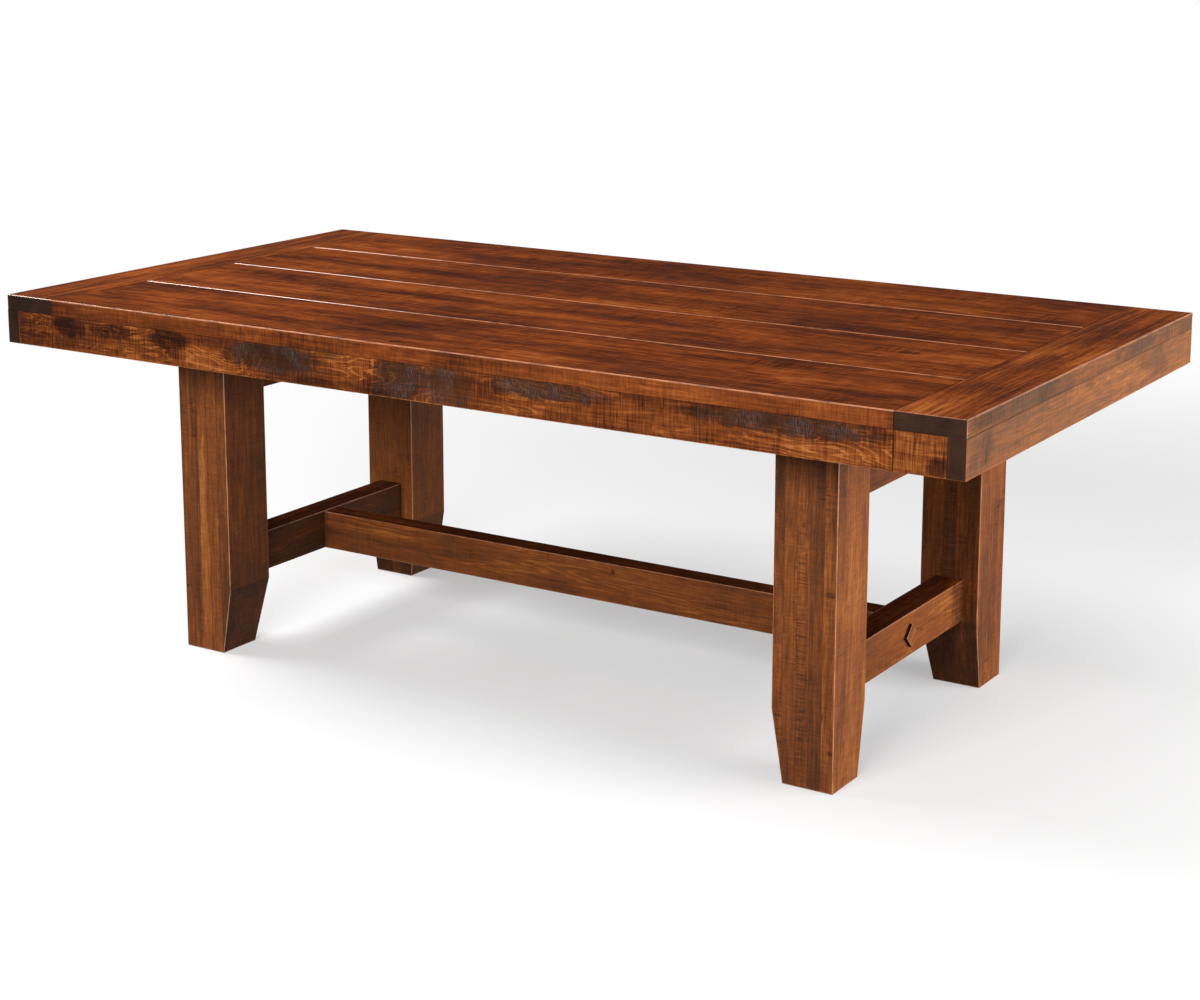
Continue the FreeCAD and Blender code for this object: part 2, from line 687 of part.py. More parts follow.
def check_table():
    """Stops if a feature failed, a cut removed nothing or a piece is not sound."""
    failed = [item.Name for item in document.Objects
              if "Invalid" in item.State or "Error" in item.State]
    if failed:
        raise RuntimeError(f"failed features: {failed}")
    for item in document.Objects:
        if item.TypeId == "PartDesign::Pocket":
            removed = item.BaseFeature.Shape.Volume - item.Shape.Volume
            if removed <= 0:
                raise RuntimeError(f"{item.Name} removes nothing")
    for body in pieces:
        if body.Shape.isNull() or not body.Shape.isValid() or not body.Shape.Solids:
            raise RuntimeError(f"{body.Label} is not a sound solid")


def write_steps():
    """One file for each piece, named after it."""
    os.makedirs("parts", exist_ok=True)
    for body in pieces:
        body.Shape.exportStep(f"parts/{body.Label}.step")


fill_sheet()
make_table()
check_table()
write_steps()
print(f"{len(pieces)} nodes, {sum(len(body.Shape.Solids) for body in pieces)} solids")
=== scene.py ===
"""The looks of a farmhouse dining table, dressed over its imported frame.

Every board is a mesh of its own, with eased edges and a sawn or planed surface, in a stained wood
that follows its grain. The frame gives each board its place.
"""

import json
import math

import bpy
import numpy as np
from bpy.props import FloatProperty, FloatVectorProperty, IntProperty, PointerProperty
from bpy.types import Operator, Panel, PropertyGroup
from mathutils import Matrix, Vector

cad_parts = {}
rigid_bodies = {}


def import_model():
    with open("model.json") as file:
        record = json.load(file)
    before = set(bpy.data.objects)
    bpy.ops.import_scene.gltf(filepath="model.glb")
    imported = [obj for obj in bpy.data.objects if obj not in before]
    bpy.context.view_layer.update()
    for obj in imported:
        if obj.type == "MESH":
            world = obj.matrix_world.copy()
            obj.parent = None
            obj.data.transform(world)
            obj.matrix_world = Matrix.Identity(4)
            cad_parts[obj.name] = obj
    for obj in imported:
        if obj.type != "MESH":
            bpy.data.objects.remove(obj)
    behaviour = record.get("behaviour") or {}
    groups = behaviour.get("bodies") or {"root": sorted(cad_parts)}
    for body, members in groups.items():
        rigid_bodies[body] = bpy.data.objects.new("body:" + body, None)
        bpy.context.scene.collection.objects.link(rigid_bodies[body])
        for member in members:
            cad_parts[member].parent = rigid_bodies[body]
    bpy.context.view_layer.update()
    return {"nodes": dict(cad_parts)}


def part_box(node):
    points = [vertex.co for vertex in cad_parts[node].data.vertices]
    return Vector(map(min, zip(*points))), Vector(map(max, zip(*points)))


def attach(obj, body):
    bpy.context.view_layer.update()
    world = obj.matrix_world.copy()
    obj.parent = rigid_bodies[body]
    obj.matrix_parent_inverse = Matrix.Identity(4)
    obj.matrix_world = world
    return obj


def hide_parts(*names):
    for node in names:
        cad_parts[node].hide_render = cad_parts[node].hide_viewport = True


bl_info = {
    "name": "Farmhouse table",
    "version": (1, 0, 0),
    "blender": (4, 5, 0),
    "location": "3D View > Sidebar > Table",
    "description": "Dresses the farmhouse table's frame in sawn, planed and stained boards",
    "category": "Object",
}

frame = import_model()

X, Y, Z = 0, 1, 2
LOW, HIGH = 0, 1
FACE_GRAIN, EDGE_GRAIN, END_GRAIN = 0, 1, 2

LEFT_AND_RIGHT = ("left", "right")
PLANKS = ("front_plank", "front_middle_plank", "back_middle_plank", "back_plank")
BATTENS = ("left_batten", "middle_batten", "right_batten")

NODES_IN_A_ROW = 12  # in the node editor
NODE_PITCH = (220, 260)


def stain(red, green, blue):
    """A colour as it is read off a screen, 0 to 255, as the linear colour that Blender takes."""
    shares = [value / 255 for value in (red, green, blue)]
    return tuple(s / 12.92 if s <= 0.04045 else ((s + 0.055) / 1.055) ** 2.4 for s in shares)


# ---------------------------------------------------------------- sizes and colours to change


def length(name, description, default):
    """A setting that is a length in metres."""
    return FloatProperty(name=name, description=description, default=default, unit="LENGTH")


def colour_setting(name, description, default):
    """A setting that is a colour."""
    return FloatVectorProperty(
        name=name, description=description, default=default, subtype="COLOR"
    )


def strength(name, description, default):
    """A setting that is the strength of a light."""
    return FloatProperty(name=name, description=description, default=default)


class TableSizes(PropertyGroup):
    """How the boards' edges are eased and how rough their surfaces are."""

    groove: length(
        "Groove", "Width and depth of each plank's share of the groove between two planks", 0.0023
    )
    top_edge: length("Top edge", "Radius of the tabletop's outer edge", 0.0014)
    seam: length("Seam", "Easing of edges that meet in a tight seam", 0.0004)
    arris: length("Arris", "Radius of the legs', rails' and stretchers' long edges", 0.0015)
    taper_height: length("Taper height", "Height at which the legs' tapers start", 0.140)
    taper: length("Taper", "What the taper takes off each inner face at the floor", 0.024)
    bury: length("Bury", "How far a rail's or stretcher's end runs on into what it meets", 0.002)
    saw_depth: length(
        "Saw mark depth", "Depth of the saw marks on the rough-sawn boards", 0.00035
    )
    plane_depth: length(
        "Plane wave depth",
        "Depth of the waves that a hand plane leaves on the smooth boards",
        0.00025,
    )
    seed: IntProperty(
        name="Seed",
        description="Number that the surface patterns start from",
        default=7,
    )


class TableColours(PropertyGroup):
    """The colours of the stained wood, of what lies in it, of its painted sheen and highlight, and
    of the steel.
    """

    dark: colour_setting(
        "Dark streak", "The stain where the wood took most of it", stain(45, 23, 15)
    )
    deep: colour_setting(
        "Deep brown", "The stain in the darker half of the grain", stain(84, 41, 21)
    )
    middle: colour_setting("Red brown", "The stain's usual colour", stain(118, 59, 27))
    light: colour_setting(
        "Orange brown", "The stain in the lighter half of the grain", stain(148, 79, 36)
    )
    pale: colour_setting(
        "Pale streak", "The stain where the wood took least of it", stain(180, 110, 58)
    )
    end_grain: colour_setting(
        "End grain", "The stain on cut ends, which soak it up", stain(57, 37, 27)
    )
    glaze: colour_setting("Glaze", "The grey glaze left in the saw marks", stain(98, 90, 90))
    under_glaze: colour_setting(
        "Under the glaze", "The dark stain that the glaze lies on", stain(58, 37, 24)
    )
    knot: colour_setting("Knot", "The heart of a knot", stain(26, 14, 9))
    # Paler stain on the eased edges: the stain rubbed back, and a painted highlight along the
    # grooves and arrises.
    worn_and_highlit: colour_setting(
        "Worn and highlit edge", "Edges where the stain has been rubbed back, with a painted highlight", stain(205, 128, 74)
    )
    # A pale colour mixed into the finishes of boards that face the right light, as a painted sheen.
    painted_sheen: colour_setting(
        "Painted sheen", "Pale colour mixed into the lit boards as a painted sheen", stain(205, 176, 130)
    )
    steel: colour_setting(
        "Steel", "Zinc-plated bolts, washers, nuts and screws", stain(172, 174, 176)
    )
    rust: colour_setting("Rust", "Rust in the dull patches of the steel", stain(112, 66, 38))
    peg: colour_setting("Peg", "The pegs that hold the breadboard ends", stain(104, 62, 36))


class TableStage(PropertyGroup):
    """Floor, lights and camera."""

    floor: colour_setting("Floor", "Colour of the floor", (0.94, 0.94, 0.94))
    sky: strength("Sky", "Strength of the light from all round", 0.14)
    key: strength(
        "Right light",
        "Strength of the large soft light on the table's right, on a face square to it",
        0.74,
    )
    fill: strength(
        "Front light", "Strength of the soft light in front, on a face square to it", 0.75
    )
    top: strength(
        "Top light",
        "Strength of the soft light above the left end, on a face square to it",
        0.93,
    )
    lens: FloatProperty(
        name="Lens",
        description="Focal length of the camera in millimetres, on a 36 mm sensor",
        default=68.087,
    )


# ------------------------------------------------------------------------- node trees


class Amount:
    """One output of a node. Sums are written with it as if it were a number."""

    def __init__(self, recipe, socket):
        self.recipe = recipe
        self.socket = socket

    def __add__(self, other):
        return self.recipe.maths("ADD", self, other)

    def __sub__(self, other):
        return self.recipe.maths("SUBTRACT", self, other)

    def __rsub__(self, other):
        return self.recipe.maths("SUBTRACT", other, self)

    def __mul__(self, other):
        return self.recipe.maths("MULTIPLY", self, other)

    def __truediv__(self, other):
        return self.recipe.maths("DIVIDE", self, other)

    __radd__ = __add__
    __rmul__ = __mul__

    def between(self, low, high):
        """0 below low, 1 above high, and a soft rise from one to the other."""
        return self.recipe.node(
            "ShaderNodeMapRange",
            {"interpolation_type": "SMOOTHSTEP"},
            {"Value": self, "From Min": low, "From Max": high},
        )


class Recipe:
    """A node tree, with one method that makes its nodes and a few that put them together."""

    def __init__(self, tree):
        self.tree = tree
        self.tree.nodes.clear()

    def node(self, kind, settings=None, inputs=None, output=0):
        """Makes a node. Its settings are set first, then its inputs' values and links."""
        made = self.tree.nodes.new(kind)
        row, column = divmod(len(self.tree.nodes), NODES_IN_A_ROW)
        made.location = (NODE_PITCH[X] * column, -NODE_PITCH[Y] * row)
        for name, value in (settings or {}).items():
            if name == "stops":
                self.set_stops(made.color_ramp, value)
            else:
                setattr(made, name, value)
        for name, value in (inputs or {}).items():
            if isinstance(value, Amount):
                self.tree.links.new(value.socket, made.inputs[name])
            else:
                made.inputs[name].default_value = value
        if not made.outputs:
            return made
        return Amount(self, made.outputs[output])

    @staticmethod
    def set_stops(ramp, stops):
        """Gives a colour ramp its stops, each a place from 0 to 1 and a colour."""
        while len(ramp.elements) < len(stops):
            ramp.elements.new(1.0)
        for element, (place, colour) in zip(ramp.elements, stops):
            element.position = place
            element.color = (*colour, 1.0)

    def maths(self, operation, first, second=0.0):
        """A sum of two numbers."""
        return self.node("ShaderNodeMath", {"operation": operation}, {0: first, 1: second})

    def vector(self, x, y, z):
        """Three numbers as one vector."""
        return self.node("ShaderNodeCombineXYZ", None, {0: x, 1: y, 2: z})

    def parts_of(self, vector):
        """The three numbers of a vector."""
        return [self.node("ShaderNodeSeparateXYZ", None, {0: vector}, part) for part in (X, Y, Z)]

    def moved(self, vector, by):
        """A vector with another added."""
        return self.node("ShaderNodeVectorMath", {"operation": "ADD"}, {0: vector, 1: by})

    def scaled(self, vector, by):
        """A vector with each of its parts multiplied by its own number."""
        return self.node("ShaderNodeVectorMath", {"operation": "MULTIPLY"}, {0: vector, 1: by})

    def length(self, vector):
        """How long a vector is."""
        return self.node("ShaderNodeVectorMath", {"operation": "LENGTH"}, {0: vector}, "Value")

    def noise(self, vector, per_metre, detail=2.0, roughness=0.5):
        """Noise with its own number of changes per metre along each axis."""
        inputs = {"Scale": 1.0, "Detail": detail, "Roughness": roughness}
        inputs["Vector"] = self.scaled(vector, per_metre)
        return self.node("ShaderNodeTexNoise", None, inputs)

    def mix(self, share, first, second):
        """One colour turned into another by a share from 0 to 1."""
        return self.node(
            "ShaderNodeMix",
            {"data_type": "RGBA", "clamp_factor": True},
            {0: share, 6: self.opaque(first), 7: self.opaque(second)},
            2,
        )

    @staticmethod
    def opaque(colour):
        """A colour with its fourth number, where it is a plain one."""
        return colour if isinstance(colour, Amount) else (*colour, 1.0)

    def ramp(self, share, stops):
        """The colour at a share from 0 to 1, read between the stops."""
        return self.node("ShaderNodeValToRGB", {"stops": stops}, {"Fac": share})

    def bump(self, height, strength, distance):
        """The slopes of a surface that stands up by a height."""
        inputs = {"Strength": strength, "Distance": distance, "Height": height}
        return self.node("ShaderNodeBump", None, inputs)

    def written(self, name, output="Fac"):
        """What a board's mesh has written on it under this name."""
        return self.node("ShaderNodeAttribute", {"attribute_name": name}, None, output)

    def here(self):
        """The place on the table, in metres."""
        return self.node("ShaderNodeTexCoord", None, None, "Object")


def new_finish(name):
    """An empty material, its recipe and a plain surface shader joined to its output."""
    material = bpy.data.materials.new(name)
    material.use_nodes = True
    return material, Recipe(material.node_tree)


def surface(recipe, **inputs):
    """The shader of a finish, joined to the material's output."""
    sockets = {name.replace("_", " "): value for name, value in inputs.items()}
    if "Base Color" in sockets:
        sockets["Base Color"] = recipe.opaque(sockets["Base Color"])
    shader = recipe.node("ShaderNodeBsdfPrincipled", None, sockets)
    recipe.node("ShaderNodeOutputMaterial", None, {"Surface": shader})


# ----------------------------------------------------------------------------- finishes

# What a wood has more or less of. How often a pattern changes is given in changes per metre
# along, across and through the board.
PLAIN_LOOK = {
    "bands": 0.30,  # broad streaks
    "streaks": 0.60,  # narrow streaks
    "fibres": 0.50,  # the finest streaks
    "smoke": 0.85,  # smoky patches
    "cloud": (4.6, 13.0, 13.0),  # and how often they change
    "mottle": 0.25,  # blotches
    "ripple": 0.10,  # soft bars across the grain
    "figure": 0.06,  # lines of the growth rings
    "curl": (3.0, 12.0, 12.0),  # and how often they change
    "flecks": 0.16,  # short specks
    "chatter": 0.22,  # saw marks across the grain
    "chatter_from": 0.50,  # and how rare they are, from 0 to 1
    "scored": (),  # places with more of them
    "glaze": 0.0,  # grey glaze
    "glaze_from": 0.0,  # and the height on the board at which it starts
    "glazed": (),  # places with more of it
    "staves": 0.0,  # width of the staves that it is glued up from, in metres
    "boards_apart": 0.16,  # how boards and staves differ
    "patches": (),  # single dark and light marks, and painted shade
    "crisp": 0.45,  # and the share of their reach at which they start to fade
    "ragged": (26.0, 60.0, 60.0),  # and how often their outlines waver
    "knots": (),
    "painted_sheen_share": 0.0,  # how much painted sheen is mixed in
    "wear": 0.5,  # how far the edges' stain is rubbed back and painted with a highlight
    "bevel": 0.0016,  # and how wide that is, in metres
    "coat": 0.0,  # polish on the edges
    "roughness": 0.60,
    "gloss": 0.02,
    "relief": 0.00025,  # height of the grain, in metres
    "shift": 0.0,  # lighter above 0 and darker below
    "tint": (1.0, 1.0, 1.0),
}

# Where single marks show on the table, and where shade is painted on: a centre in metres, its
# reach along x, y and z, and how much darker it makes the wood. Below 0 it makes the wood lighter.
TOP_PATCHES = (
    ((-0.225, -0.400, 0.762), (0.14, 0.045, 0.1), 0.16),
    ((-0.150, -0.206, 0.762), (0.18, 0.035, 0.1), 0.15),
    ((-0.285, -0.100, 0.762), (0.16, 0.035, 0.1), 0.16),
    ((0.540, -0.019, 0.762), (0.24, 0.022, 0.1), 0.14),
    ((-0.555, 0.146, 0.762), (0.22, 0.040, 0.1), 0.15),
    ((-0.810, 0.386, 0.762), (0.07, 0.035, 0.1), 0.14),
    ((-0.400, 0.370, 0.762), (0.20, 0.060, 0.1), 0.10),
    ((0.000, 0.440, 0.762), (1.30, 0.130, 0.1), 0.05),
    ((0.420, -0.356, 0.762), (0.18, 0.040, 0.1), 0.13),
    ((0.840, -0.476, 0.762), (0.10, 0.025, 0.1), 0.14),
    ((0.800, 0.480, 0.762), (0.14, 0.040, 0.1), 0.12),
    ((0.640, 0.345, 0.762), (0.24, 0.028, 0.1), -0.10),
    ((0.440, -0.100, 0.762), (0.10, 0.022, 0.1), -0.12),
    ((-0.850, -0.190, 0.762), (0.12, 0.040, 0.1), -0.10),
    ((-0.830, 0.110, 0.762), (0.14, 0.030, 0.1), -0.10),
)
TOP_KNOTS = (
    ((0.775, -0.112, 0.762), (0.030, 0.014, 0.02)),
    ((-0.915, -0.431, 0.762), (0.030, 0.008, 0.02)),
    ((-0.015, 0.371, 0.762), (0.016, 0.016, 0.02)),
    ((0.310, 0.420, 0.762), (0.018, 0.008, 0.02)),
    ((-0.080, -0.530, 0.762), (0.022, 0.014, 0.02)),
)
SKIRT_PATCHES = (
    ((-0.905, -0.559, 0.712), (0.050, 0.1, 0.026), 0.30),
    ((-0.780, -0.559, 0.714), (0.075, 0.1, 0.018), 0.26),
    ((-0.625, -0.559, 0.712), (0.060, 0.1, 0.022), 0.30),
    ((-0.360, -0.559, 0.705), (0.125, 0.1, 0.034), 0.22),
    ((-0.060, -0.559, 0.695), (0.080, 0.1, 0.060), 0.26),
    ((0.260, -0.559, 0.714), (0.140, 0.1, 0.022), 0.24),
    ((0.750, -0.559, 0.716), (0.240, 0.1, 0.024), 0.21),
    ((1.030, -0.559, 0.674), (0.022, 0.1, 0.020), 0.30),
    ((-1.010, -0.559, 0.695), (0.060, 0.1, 0.050), 0.12),
    ((-0.550, -0.559, 0.690), (0.060, 0.1, 0.024), -0.14),
    ((0.500, -0.559, 0.688), (0.150, 0.1, 0.030), -0.09),
    ((0.820, -0.559, 0.680), (0.150, 0.1, 0.022), -0.03),
)
END_PATCHES = (((1.080, 0.440, 0.749), (0.1, 0.160, 0.040), 0.10),)
END_GLAZE = (
    ((1.080, -0.465, 0.749), (0.1, 0.100, 0.018)),
    ((1.080, -0.480, 0.700), (0.1, 0.040, 0.034)),
    ((1.080, 0.260, 0.748), (0.1, 0.100, 0.014)),
)
SKIRT_GLAZE = (
    ((-0.350, -0.559, 0.706), (0.150, 0.1, 0.036)),
    ((-0.050, -0.559, 0.700), (0.070, 0.1, 0.060)),
    ((0.050, -0.559, 0.695), (0.075, 0.1, 0.060)),
    ((0.270, -0.559, 0.716), (0.150, 0.1, 0.022)),
    ((0.775, -0.559, 0.714), (0.200, 0.1, 0.024)),
)
EDGE_PATCHES = (
    ((0.870, -0.559, 0.748), (0.120, 0.1, 0.040), -0.17),
    ((0.060, -0.559, 0.748), (0.050, 0.1, 0.030), 0.08),
)
LEG_PATCHES_AND_PAINTED_SHADE = (
    ((-0.7110, -0.382, 0.020), (0.0130, 0.05, 0.400), -0.23),
    ((-0.7110, -0.382, 0.560), (0.0125, 0.05, 0.300), -0.06),
    ((-0.7300, -0.382, 0.560), (0.012, 0.05, 0.120), 0.10),
    ((-0.6600, -0.382, 0.150), (0.016, 0.03, 0.200), 0.08),
    ((0.6560, -0.382, 0.420), (0.012, 0.05, 0.160), 0.06),
    ((0.7660, -0.382, 0.330), (0.014, 0.05, 0.600), 0.10),
    # Painted shade under the front skirt, across the top of the front right leg's front face.
    ((0.7070, -0.382, 0.560), (0.080, 0.05, 0.110), 0.12),
    ((0.7700, 0.320, 0.300), (0.030, 0.09, 0.500), 0.06),
    # Painted shade on the front left leg's inner right face, with less of it near the top.
    ((-0.6440, -0.320, 0.300), (0.006, 0.10, 0.700), 0.10),
    ((-0.6440, -0.320, 0.600), (0.006, 0.10, 0.200), -0.07),
    ((0.7700, -0.320, 0.280), (0.006, 0.10, 0.450), -0.12),
    ((0.7700, -0.320, 0.570), (0.006, 0.10, 0.200), 0.07),
    ((0.7700, 0.320, 0.300), (0.006, 0.10, 0.450), -0.12),
    ((-0.7100, 0.256, 0.300), (0.080, 0.01, 0.450), -0.10),
)
LEG_SCORED = (((0.7005, -0.382, 0.280), (0.015, 0.06, 0.300)),)
LEG_KNOTS = (
    ((0.758, -0.382, 0.370), (0.013, 0.02, 0.006)),
    ((0.764, -0.382, 0.076), (0.008, 0.02, 0.006)),
    ((0.7465, -0.382, 0.141), (0.002, 0.02, 0.012)),
    ((0.700, 0.256, 0.110), (0.007, 0.02, 0.006)),
    ((-0.732, -0.382, 0.467), (0.010, 0.02, 0.004)),
    ((-0.763, -0.382, 0.135), (0.009, 0.02, 0.004)),
)
# Painted shade on the cross stretchers: a painted shadow of the back right leg on the right
# stretcher's outer face by its back end, and painted shade on the left stretcher's inner face under
# the table.
STRETCHER_PAINTED_SHADE = (
    ((0.738, 0.250, 0.195), (0.020, 0.062, 0.140), 0.30),
    ((-0.676, 0.000, 0.195), (0.012, 0.400, 0.200), 0.10),
)
STRETCHER_KNOTS = (
    ((0.738, 0.058, 0.182), (0.02, 0.006, 0.004)),
    ((0.085, -0.027, 0.212), (0.006, 0.02, 0.008)),
    ((0.140, -0.027, 0.168), (0.003, 0.02, 0.003)),
)

# Where each wood differs from the plain look.
WOODS = {
    "plank top": dict(
        streaks=0.70, fibres=1.1, smoke=0.84, cloud=(2.5, 9.0, 9.0), mottle=0.15, ripple=0.25,
        chatter=0.18, patches=TOP_PATCHES, knots=TOP_KNOTS, wear=0.85, bevel=0.0024, coat=0.33,
        gloss=0.002, shift=-0.04, tint=(1.0, 0.91, 0.88),
    ),
    "plank edge": dict(
        bands=0.2, smoke=0.8, flecks=0.35, chatter=0.10, chatter_from=0.36,
        patches=EDGE_PATCHES, bevel=0.0022, coat=0.39, shift=0.01,
    ),
    "breadboard top": dict(
        streaks=1.3, fibres=0.8, chatter=0.1, boards_apart=0.30, bevel=0.0022, coat=0.39,
        gloss=0.003, tint=(1.0, 0.93, 0.9),
    ),
    "breadboard edge": dict(
        bands=0.2, fibres=0.8, smoke=0.5, flecks=0.4, chatter=0.26, chatter_from=0.46,
        scored=END_GLAZE, glaze=0.5, glazed=END_GLAZE, patches=END_PATCHES, painted_sheen_share=0.09,
        bevel=0.0022, coat=0.24, gloss=0.07, shift=-0.07,
    ),
    "end skirt": dict(
        bands=0.2, fibres=0.8, smoke=0.5, figure=0.14, curl=(0.9, 13.0, 13.0), flecks=0.3,
        scored=END_GLAZE, glaze=0.45, glazed=END_GLAZE, painted_sheen_share=0.11, gloss=0.07,
    ),
    "sawn skirt": dict(
        fibres=0.6, smoke=0.95, figure=0.30, flecks=0.45, chatter=0.15, chatter_from=0.28,
        glaze=0.85, glaze_from=0.046, glazed=SKIRT_GLAZE, patches=SKIRT_PATCHES, crisp=0.65,
        ragged=(75.0, 16.0, 16.0), relief=0.0004, tint=(1.0, 1.05, 1.05),
    ),
    "sawn block": dict(
        flecks=0.5, chatter=0.26, chatter_from=0.05, patches=SKIRT_PATCHES,
        tint=(0.97, 1.06, 1.1),
    ),
    "leg": dict(
        fibres=0.75, smoke=0.6, flecks=0.40, chatter_from=0.55, scored=LEG_SCORED,
        staves=0.0265, patches=LEG_PATCHES_AND_PAINTED_SHADE, crisp=0.92, knots=LEG_KNOTS, painted_sheen_share=0.02, wear=1.0,
        coat=0.39, gloss=0.13, shift=0.02, tint=(0.98, 1.02, 0.83),
    ),
    "rail": dict(smoke=0.5, chatter=0.08, coat=0.31, gloss=0.12, tint=(0.95, 1.05, 0.9)),
    "stretcher": dict(
        streaks=0.4, smoke=0.55, figure=0.20, curl=(0.9, 13.0, 13.0), chatter=0.08,
        boards_apart=0.45, patches=STRETCHER_PAINTED_SHADE, knots=STRETCHER_KNOTS, painted_sheen_share=0.02,
        coat=0.31, gloss=0.08, tint=(0.92, 0.96, 0.80),
    ),
    # The stretchers' tops and undersides, drawn much darker as painted shade under the tabletop.
    "stretcher top": dict(smoke=0.55, boards_apart=0.3, coat=0.31, gloss=0.0, shift=-0.24),
    # The bolt caps' four sides, drawn near black as painted shade.
    "cap side": dict(wear=0.1, roughness=0.8, gloss=0.0, shift=-0.55),
    "batten": dict(smoke=0.6, chatter=0.3, chatter_from=0.45, wear=0.2),
}

# The noises that make a wood's grain: whether each wanders as the grain does, its changes per
# metre along, across and through the board, its detail and its roughness. How often the smoke
# changes is each wood's own.
GRAIN = {
    "bands": (True, (1.2, 27.0, 27.0), 2.0, 0.5),
    "streaks": (True, (2.4, 120.0, 120.0), 4.0, 0.72),
    "smoke": (True, None, 3.0, 0.48),
    "fibres": (True, (16.0, 260.0, 260.0), 3.0, 0.65),
    "flecks": (False, (300.0, 34.0, 34.0), 3.0, 0.65),
    "ripple": (False, (38.0, 9.0, 9.0), 3.0, 0.55),
    "mottle": (False, (34.0, 48.0, 48.0), 4.0, 0.7),
}
STAIN_STOPS = (0.05, 0.32, 0.50, 0.68, 0.92)  # the places of the five stains, from dark to pale
MIDDLE = 0.5  # of a noise, and of the stains
LUCK = (5.1, 3.7, 2.3)  # how far its luck moves a board's grain, in metres
NARROWER_STAVE = 0.0055  # what a leg's first stave has less than the others, in metres
EDGE_COAT = {"Coat_Roughness": 0.16, "Coat_IOR": 3.0}


def board_place(recipe, luck):
    """The place on a board from its own corner, moved on so that no two boards are alike."""
    steps = recipe.vector(*(luck * step for step in LUCK))
    return recipe.moved(recipe.written("grain", "Vector"), steps)


def spot(recipe, ragged, centre, reach, crisp=0.45):
    """A ragged mark at a place on the table, 1 at its middle and 0 outside.

    Crisp is the share of its reach at which it starts to fade.
    """
    offset = recipe.moved(recipe.here(), tuple(-value for value in centre))
    away = recipe.length(recipe.scaled(offset, tuple(1 / value for value in reach)))
    return 1.0 - (away + (ragged - MIDDLE) * 1.3).between(crisp, 1.05)


def saw_marks(recipe, board, ragged, look):
    """Marks of the saw across the grain, in some places and on the ones named as scored."""
    fine = recipe.noise(board, (420.0, 15.0, 15.0), 1.0).between(0.48, 0.70)
    broad = recipe.noise(board, (170.0, 17.0, 17.0)).between(0.55, 0.72)
    rare = look["chatter_from"]
    where = recipe.noise(board, (5.5, 12.0, 12.0)).between(rare, rare + 0.16)
    for centre, reach in look["scored"]:
        mark = spot(recipe, ragged, centre, reach) * 1.3
        where = recipe.maths("MAXIMUM", where, mark)
    return where * (fine + broad * 0.8)


def glazed_over(recipe, colour, board, ragged, across, look, colours):
    """The colour with smears of grey glaze on it, broken up by specks and clouds."""
    smear = recipe.noise(board, (4.5, 10.0, 10.0), 3.0, 0.6).between(0.57, 0.67)
    smear = smear * across.between(look["glaze_from"], look["glaze_from"] + 0.02)
    for centre, reach in look["glazed"]:
        smear = recipe.maths("MAXIMUM", smear, spot(recipe, ragged, centre, reach))
    speck = recipe.noise(board, (520.0, 80.0, 80.0), 3.0, 0.7).between(0.42, 0.74)
    cloudy = recipe.noise(board, (16.0, 14.0, 14.0)).between(0.38, 0.62)
    colour = recipe.mix(smear * 0.75 * look["glaze"], colour, colours.under_glaze)
    return recipe.mix(smear * speck * cloudy * look["glaze"], colour, colours.glaze)


